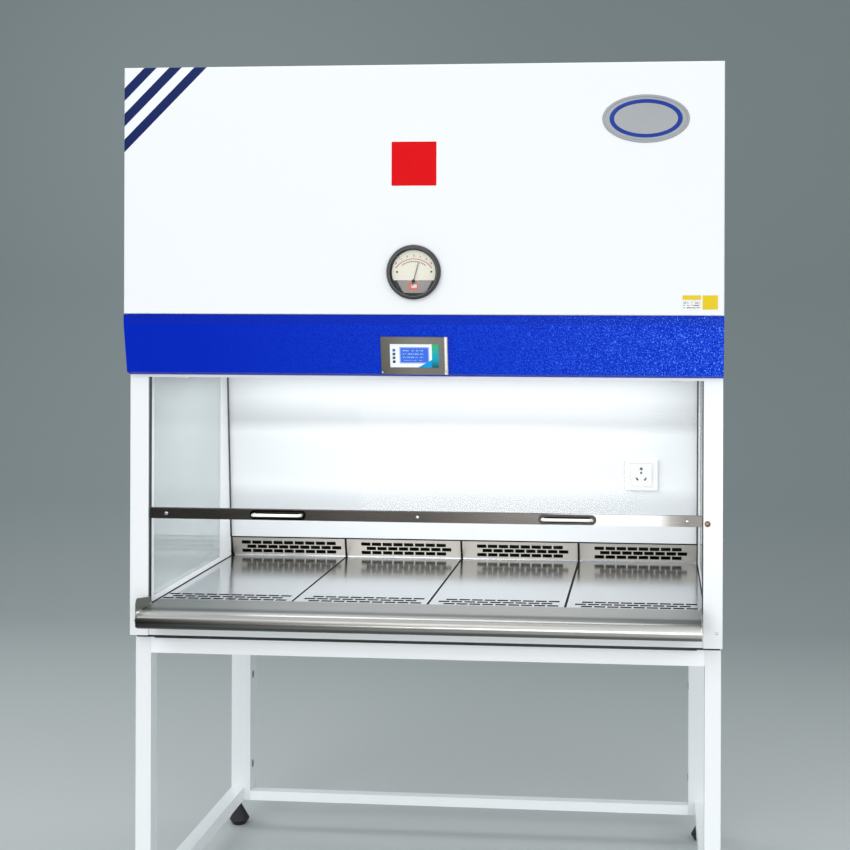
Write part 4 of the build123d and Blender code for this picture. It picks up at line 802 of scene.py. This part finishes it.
# ---------------------------------------------------------------- gauge and display
class CABINET_OT_gauge(bpy.types.Operator):
    """Draw the gauge's scale and fit its small parts"""

    bl_idname = "cabinet.gauge"
    bl_label = "Gauge"

    def execute(self, context):
        self.dial()
        self.mechanism()
        self.numerals()
        return {"FINISHED"}

    @staticmethod
    def dial():
        """Cream face with a red arc outside a black one, ticks on both, and black below its cut edge."""
        finish = Finish("dial_face", roughness=0.6, specular_ior_level=0.1)
        across, above = finish.offset(GAUGE_X, PIVOT_Z)
        radius = distance(across, above)
        turn = across.math("ARCTAN2", above)
        ticks = ((turn / 0.1).math("FRACT") - 0.5).absolute() > 0.42
        inner, outer = turn.absolute() < 0.66, turn.absolute() < 0.95
        black = (radius.between(43.7 * MM, 44.8 * MM) + radius.between(41.2 * MM, 43.7 * MM) * ticks) * inner
        red = (radius.between(48.7 * MM, 50.0 * MM) + radius.between(50.0 * MM, 52.2 * MM) * ticks) * outer
        face = finish.blend(red, colours().cream, (0.55, 0.03, 0.02))
        face = finish.blend(black, face, 0.02)
        finish.paint(above < 1.6 * MM, face, 0.004)
        dress(finish, "gauge_dial")

    @staticmethod
    def fit(name, rings, places, finish, slot):
        """A small part on the dial; places are millimetres right of and above the gauge's middle."""
        spots = [facing((GAUGE_X + x * MM, DIAL_FACE_Y, GAUGE_Z + z * MM)) for x, z in places]
        stack_piece(name, rings, spots, finish, "front_panel")

    def mechanism(self):
        """Works seen below the dial: a tapered grey plate, a red magnet block, and the dial's screws."""
        plate = np.array([(-38, -18.5), (-23, -46), (27, -46), (41, -18.5)]) * MM
        grey = moulded("works_grey", (0.30, 0.27, 0.26), 0.4, 0.5)
        self.fit("works_plate", slab(plate, -0.2 * MM, 0.4 * MM), [(0, 0)], grey, "stainless")
        block = rounded(22 * MM, 15.5 * MM, 1.5 * MM)
        rose = moulded("magnet_red", (0.72, 0.16, 0.11), 0.4, 0.1, 0.2)
        self.fit("magnet_block", slab(block, 0.3 * MM, 0.7 * MM), [(-1, -31.5)], rose, "overlay_white")
        label = rounded(12 * MM, 7.5 * MM, MM)
        pale = moulded("magnet_pale", (0.86, 0.72, 0.68), 0.4, 0.1, 0.2)
        self.fit("magnet_label", slab(label, 0.6 * MM, 0.9 * MM), [(1, -31)], pale, "overlay_white")
        head = slab(circle(2.2 * MM, 24), -0.2 * MM, 0.5 * MM) + [(circle(1.6 * MM, 24), 0.8 * MM)]
        black = moulded("dial_screw_black", (0.01, 0.01, 0.01), 0.4)
        self.fit("dial_screws", head, [(-37.5, 0.5), (39.5, 1)], black, "pointer_black")
        bright = brushed("lens_screw_steel", (0.8, 0.8, 0.8), "x", 0.2, 0.02)
        self.fit("lens_screw", pan_head(1.8 * MM), [(-32, 33.5)], bright, "stainless")

    @staticmethod
    def numerals():
        """Numbers 0 to 6 round the scale, each drawn with straight strokes on a two by three grid."""
        strokes = {"a": ((0, 2), (1, 2)), "b": ((1, 1), (1, 2)), "c": ((1, 0), (1, 1)), "d": ((0, 0), (1, 0)),
                   "e": ((0, 0), (0, 1)), "f": ((0, 1), (0, 2)), "g": ((0, 1), (1, 1))}
        digits = ("abcdef", "bc", "abged", "abgcd", "fgbc", "afgcd", "afgecd")
        unit, thick, reach = 1.7 * MM, 0.7 * MM, 56.5 * MM
        first_turn, turn_step = -0.78, 0.26
        places = []
        for number, shape in enumerate(digits):
            turn = first_turn + turn_step * number
            centre = np.array([reach * np.sin(turn), reach * np.cos(turn)])
            for key in shape:
                ends = (np.array(strokes[key], float) - (0.5, 1.0)) * unit + centre
                middle, run = ends.mean(axis=0), ends[1] - ends[0]
                spot = (GAUGE_X + middle[0], DIAL_FACE_Y, PIVOT_Z + middle[1])
                places.append(facing(spot, right=(run[0], 0, run[1])))
        stroke = slab(rounded(unit + thick, thick, thick * 0.3, 3), 0.0, 0.2 * MM)
        ink = moulded("dial_ink", (0.01, 0.01, 0.01), 0.6)
        stack_piece("dial_numbers", stroke, places, ink, "front_panel")


class CABINET_OT_display(bpy.types.Operator):
    """Colour the display's overlay, screen and keys"""

    bl_idname = "cabinet.display"
    bl_label = "Display"

    def execute(self, context):
        middle_x, middle_z = (OVERLAY_LOW.x + OVERLAY_HIGH.x) / 2, (OVERLAY_LOW.z + OVERLAY_HIGH.z) / 2
        finish = Finish("display_overlay", roughness=0.3, specular_ior_level=0.15)
        across, above = finish.offset(middle_x, middle_z)
        screen = across.between(-31 * MM, 31 * MM) * above.between(-15 * MM, 17 * MM)
        rim = across.between(-33.5 * MM, 33.5 * MM) * above.between(-17.5 * MM, 19.5 * MM)
        swoosh = ((across - 4 * MM) * 0.55 - 28.5 * MM > above) * (across > 6 * MM)
        hue = finish.ramp((above + 26 * MM) / (52 * MM), (0.0, (0.01, 0.10, 0.10)), (0.35, (0.0, 0.36, 0.55)),
                          (0.7, (0.02, 0.42, 0.36)), (1.0, (0.05, 0.45, 0.16)))
        base = finish.blend(rim, (0.90, 0.93, 0.95), (0.30, 0.44, 0.80))
        base = finish.blend(swoosh, base, (0.0, 0.32, 0.72))
        base = finish.blend(across > 39.5 * MM, base, hue)
        lines = ((above / (7.5 * MM)).math("FRACT") - 0.5).absolute() < 0.16
        broken = finish.noise(330, 1.0, (1.0, 0.0, 0.3)) > 0.5
        words = broken * lines * across.between(-26 * MM, 20 * MM) * above.between(-11 * MM, 13 * MM)
        picture = finish.blend(words, (0.045, 0.16, 0.76), (0.42, 0.55, 0.92))
        finish.paint(screen, base, picture)
        dress(finish, "display_panel")
        keys = ((0.005, 0.14, 0.42), (0.006, 0.06, 0.10), (0.005, 0.09, 0.10), (0.012, 0.012, 0.10))
        for index, tint in enumerate(keys, 1):
            dress(moulded("key_tint_" + str(index), tint, 0.35), "key_" + str(index))
        return {"FINISHED"}


# ---------------------------------------------------------------- trim
class CABINET_OT_plates(bpy.types.Operator):
    """Fix the oval badge, the square label and the small plate on the front panel, all blank"""

    bl_idname = "cabinet.plates"
    bl_label = "Plates and labels"

    def execute(self, context):
        self.badge(sizes())
        self.label(sizes())
        self.plate(sizes())
        return {"FINISHED"}

    @staticmethod
    def badge(size):
        """Oval silver badge with a raised rim, and a blue oval ring on its face."""
        wide, high = size.badge_width / 2, size.badge_height / 2
        place = facing((size.badge_x, PANEL_FRONT_Y, size.badge_z))
        silver = brushed("badge_metal", (0.42, 0.43, 0.45), "x", 0.34)
        rings = [(oval(wide - inset * MM, high - inset * MM), height * MM) for inset, height in
                 ((0, -1.0), (0, 1.5), (1, 2.2), (5, 2.2), (6, 1.4))]
        rings.append((oval(wide * 0.5, high * 0.5), 2.0 * MM))
        stack_piece("badge", rings, [place], silver, "front_panel")
        blue = moulded("badge_enamel", (0.004, 0.035, 0.30), 0.3, 0.02, 0.3)
        rings = [(oval(wide * across, high * up), height * MM) for across, up, height in
                 ((0.84, 0.80, 1.0), (0.84, 0.80, 2.4), (0.83, 0.78, 2.7), (0.74, 0.66, 2.7),
                  (0.73, 0.64, 1.6))]
        stack_piece("badge_ring", rings, [place], blue, "front_panel")

    @staticmethod
    def label(size):
        """Blank square label."""
        red = moulded("label_red", scaled(colours().red, 0.85), 0.5, 0.02, 0.04)
        place = facing((size.label_x, PANEL_FRONT_Y, size.label_z))
        rings = sticker(size.label_width, size.label_height, 2 * MM, 0.3 * MM)
        stack_piece("square_label", rings, [place], red, "front_panel")

    @staticmethod
    def plate(size):
        """Small plate with a yellow block, a yellow band and grey dashes that spell nothing."""
        finish = Finish("plate_white", roughness=0.45, specular_ior_level=0.1)
        right, up = finish.offset(size.plate_x, size.plate_z)
        across, above = right / size.plate_width, up / size.plate_height
        block = across.between(0.06, 0.46) * above.between(-0.42, 0.42)
        band = across.between(-0.46, 0.02) * above.between(0.16, 0.42)
        rows = ((above * 7.0).math("FRACT") > 0.6) * across.between(-0.44, 0.0) * above.between(-0.4, 0.1)
        dashes = rows * (finish.noise(300, 1.0) > 0.45)
        printed = finish.blend(block + band, (0.82, 0.82, 0.80), (0.75, 0.55, 0.02))
        finish.paint(dashes, printed, 0.12)
        place = facing((size.plate_x, PANEL_FRONT_Y, size.plate_z))
        rings = sticker(size.plate_width, size.plate_height, 1.5 * MM, 0.3 * MM)
        stack_piece("small_plate", rings, [place], finish, "front_panel")


class CABINET_OT_fasteners(bpy.types.Operator):
    """Fit the screws, the round stud, the black corner strips, a black lip of painted shade and the leg hole
    plugs
    """

    bl_idname = "cabinet.fasteners"
    bl_label = "Screws and seals"

    def execute(self, context):
        self.screws(sizes())
        self.rubber()
        return {"FINISHED"}

    @staticmethod
    def screws(size):
        """Pan heads on the sash bar, the columns and the leaning bezel, and the stud that stops the sash."""
        bright = brushed("screw_steel", (0.6, 0.6, 0.6), "x", 0.22, 0.04)
        bar = [facing((x, BAR_LOW.y, BAR_MID_Z)) for x in BAR_SCREWS_X]
        stack_piece("bar_screws", pan_head(size.screw_head / 2), bar, bright, "sash")
        feet = [facing((side * COLUMN_SCREW_X, COLUMN_FRONT_Y, COLUMN_SCREW_Z)) for side in (-1, 1)]
        stack_piece("column_screws", pan_head(3 * MM), feet, bright, "cabinet")
        # The stud's brown tint on steel is a painted reflection.
        stud_steel = brushed("stud_steel", (0.26, 0.17, 0.13), "x", 0.3, 0.04)
        stud = [(circle(size.stud_head * share), height * MM) for share, height in
                ((0.5, -1.0), (0.5, 2.0), (0.42, 3.4), (0.2, 4.2))]
        place = facing((STUD_X, COLUMN_FRONT_Y, STUD_Z))
        stack_piece("column_stud", stud, [place], stud_steel, "cabinet")
        middle_x, middle_z = (BEZEL_LOW.x + BEZEL_HIGH.x) / 2, (BEZEL_LOW.z + BEZEL_HIGH.z) / 2
        lean = (BEZEL_HIGH.y - BEZEL_LOW.y - 2 * MM) / (BEZEL_HIGH.z - BEZEL_LOW.z)
        foot_y = BEZEL_LOW.y + 0.4 * MM
        corners = [facing((middle_x + x * MM, foot_y + (z + 43) * MM * lean, middle_z + z * MM),
                          (0, -1, -lean))
                   for x in (-70, 70) for z in (-37, 37)]
        stack_piece("bezel_screws", pan_head(2.2 * MM), corners, bright, "cabinet")

    @staticmethod
    def rubber():
        """Black strips in the chamber's rear corners, a black lip under the drain pan standing in for the
        shade in the gap there, and plugs in the rear legs.
        """
        black = moulded("plug_and_shade_black", (0.008, 0.008, 0.008), 0.5)
        for side, label in ((-1, "left"), (1, "right")):
            foot, head = (side * CORNER_STRIP_X, *CORNER_STRIP_FOOT), (side * CORNER_STRIP_X, *CORNER_STRIP_HEAD)
            strip("corner_seal_" + label, foot, head, 5 * MM, 3 * MM, black, "cabinet")
        # Painted shade: a black lip standing in for the shadowed gap between the drain pan and the stand.
        lip = slab(rounded(1.24, 7 * MM, 3 * MM), -20 * MM, 0.0)
        place = facing((0.0, PAN_LOW.y + 1.5 * MM, GAP_SHADOW_Z))
        stack_piece("pan_gap_shadow", lip, [place], black, "cabinet")
        plug = slab(oval(5 * MM, 11 * MM, 32), -0.5 * MM, 0.6 * MM) + [(oval(4 * MM, 10 * MM, 32), MM)]
        holes = [facing((side * LEG_INNER_X, LEG_HOLE_Y, z), (side, 0, 0), (0, 1, 0))
                 for side in (1, -1) for z in LEG_HOLES_Z]
        stack_piece("leg_plugs", plug, holes, black, "cabinet")


# ---------------------------------------------------------------- studio
def look_along(position, forward, roll):
    """Camera matrix from a place, a direction and a roll about it."""
    forward = Vector(forward).normalized()
    level = forward.cross(Vector((0, 0, 1))).normalized()
    up = level.cross(forward)
    right = level * np.cos(roll) + up * np.sin(roll)
    up = up * np.cos(roll) - level * np.sin(roll)
    turn = Matrix((right, up, -forward)).transposed().to_4x4()
    return Matrix.Translation(position) @ turn


def area_light(name, place, target, width, height, energy):
    """A soft white box at a place, aimed at a target."""
    light = bpy.data.lights.new(name, "AREA")
    light.shape = "RECTANGLE"
    light.size = width
    light.size_y = height
    light.energy = energy
    lamp = bpy.data.objects.new(name, light)
    bpy.context.scene.collection.objects.link(lamp)
    aim = (Vector(target) - Vector(place)).to_track_quat("-Z", "Y").to_matrix().to_4x4()
    lamp.matrix_world = Matrix.Translation(place) @ aim


def stage_sheet(name, points, faces, finish):
    """A sheet of the studio, which is no part of the cabinet."""
    mesh = bpy.data.meshes.new(name)
    mesh.from_pydata(points, [], faces)
    mesh.polygons.foreach_set("use_smooth", np.ones(len(mesh.polygons), bool))
    mesh.set_sharp_from_angle(angle=MOST_SMOOTH)
    mesh.materials.append(finish.material)
    sheet = bpy.data.objects.new(name, mesh)
    bpy.context.scene.collection.objects.link(sheet)


def cove(half_width, front, back, height, radius):
    """Floor and backdrop in one sheet: a flat run, a quarter circle, then an upright."""
    angle = np.linspace(0, np.pi / 2, 24)
    bend = np.stack([back - radius + radius * np.sin(angle), radius - radius * np.cos(angle)], axis=1)
    profile = np.concatenate([[(front, 0.0)], bend, [(back, height)]])
    return swept(profile, half_width)


def swept(profile, half_width):
    """Sheet through a profile of (y, z) points, drawn out to both sides."""
    points = [(side, y, z) for y, z in profile for side in (-half_width, half_width)]
    rows = np.arange(len(profile) - 1) * 2
    faces = np.stack([rows, rows + 1, rows + 3, rows + 2], axis=1)
    return points, faces.tolist()


class CABINET_OT_studio(bpy.types.Operator):
    """Set the floor, the backdrop, the lights and the camera"""

    bl_idname = "cabinet.studio"
    bl_label = "Studio"

    def execute(self, context):
        self.backdrop()
        self.lights(context.scene)
        self.dark_cloth()
        self.camera(context.scene)
        context.scene.view_settings.view_transform = "Standard"
        return {"FINISHED"}

    @staticmethod
    def backdrop():
        """Pale floor that darkens into the backdrop behind the cabinet."""
        paper = Finish("studio_paper", roughness=0.9)
        _, y, _ = paper.axes()
        far = (y * 0.30 - 0.1).math("MAXIMUM", 0.0).math("MINIMUM", 1.0)
        paper.paint(far, colours().floor, colours().wall)
        stage_sheet("studio_cove", *cove(9.0, -7.0, 4.2, 7.0, 1.6), paper)

    @staticmethod
    def dark_cloth():
        """Dark cloth on the floor behind the camera, so that upright steel has something dark to mirror."""
        cloth = Finish("cloth_black", roughness=0.9)
        cloth.paint(cloth.noise(2.0, 2.0), 0.03, 0.06)
        stage_sheet("dark_cloth", *swept([(-6.5, 0.7), (-6.5, 0.002), (-1.7, 0.002)], 6.0), cloth)

    @staticmethod
    def lights(scene):
        """Even sky, soft boxes in front, above and on the backdrop, and a low one that fills the stand."""
        world = bpy.data.worlds.new("studio_world")
        world.use_nodes = True
        sky = world.node_tree.nodes["Background"]
        sky.inputs["Color"].default_value = (0.9, 0.95, 0.97, 1.0)
        sky.inputs["Strength"].default_value = 0.78
        scene.world = world
        middle = (0.0, 0.0, 1.3)
        area_light("key_light", (-1.6, -3.6, 3.3), middle, 2.6, 2.0, 48)
        area_light("fill_light", (2.6, -3.2, 2.4), middle, 2.4, 2.0, 30)
        area_light("top_light", (0.0, 0.4, 4.2), (0.0, 0.0, 1.5), 3.2, 2.6, 30)
        area_light("wall_light", (-2.4, 1.6, 2.6), (-0.8, 4.2, 1.2), 1.5, 1.5, 20)
        area_light("chamber_light", (0.0, -0.03, 1.298), (0.0, -0.03, 0.8), 1.15, 0.36, 3.4)
        area_light("low_light", (0.3, -3.9, 0.6), (0.0, 0.0, 0.3), 2.6, 0.7, 42)

    @staticmethod
    def camera(scene):
        """Camera at standing eye level, a little to the right."""
        data = bpy.data.cameras.new("front_camera")
        data.sensor_width = 36.0
        data.lens = 53.94
        data.shift_x = -0.1529
        data.shift_y = -0.1421
        camera = bpy.data.objects.new("front_camera", data)
        scene.collection.objects.link(camera)
        heading, roll = -0.0787, 0.0029
        ahead = (np.sin(heading), np.cos(heading), 0.0)
        camera.matrix_world = look_along((0.525, -3.1744, 1.4845), ahead, roll)
        scene.camera = camera


# ---------------------------------------------------------------- panel and registration
STEPS = (CABINET_OT_sheet_metal, CABINET_OT_steel, CABINET_OT_plastics, CABINET_OT_gauge, CABINET_OT_display,
         CABINET_OT_plates, CABINET_OT_fasteners, CABINET_OT_studio)


class CABINET_PT_steps(bpy.types.Panel):
    """Lists the steps that dress the cabinet"""

    bl_label = "Biosafety cabinet"
    bl_idname = "CABINET_PT_steps"
    bl_space_type = "VIEW_3D"
    bl_region_type = "UI"
    bl_category = "Cabinet"

    def draw(self, context):
        """One button per step, then the settings."""
        for step in STEPS:
            self.layout.operator(step.bl_idname)
        for group in (context.scene.cabinet_sizes, context.scene.cabinet_colours):
            for name in group.bl_rna.properties.keys():
                if name not in ("rna_type", "name"):
                    self.layout.prop(group, name, text=name.replace("_", " ").capitalize())


CLASSES = (CABINET_PG_sizes, CABINET_PG_colours, *STEPS, CABINET_PT_steps)


def register():
    """Register the add-on's classes and hang its settings on the scene."""
    for kind in CLASSES:
        bpy.utils.register_class(kind)
    bpy.types.Scene.cabinet_sizes = bpy.props.PointerProperty(type=CABINET_PG_sizes)
    bpy.types.Scene.cabinet_colours = bpy.props.PointerProperty(type=CABINET_PG_colours)


def unregister():
    """Undo register."""
    del bpy.types.Scene.cabinet_colours
    del bpy.types.Scene.cabinet_sizes
    for kind in reversed(CLASSES):
        bpy.utils.unregister_class(kind)


def main():
    """Run every step."""
    register()
    for step in STEPS:
        group, name = step.bl_idname.split(".")
        getattr(getattr(bpy.ops, group), name)()


if __name__ == "__main__":
    main()
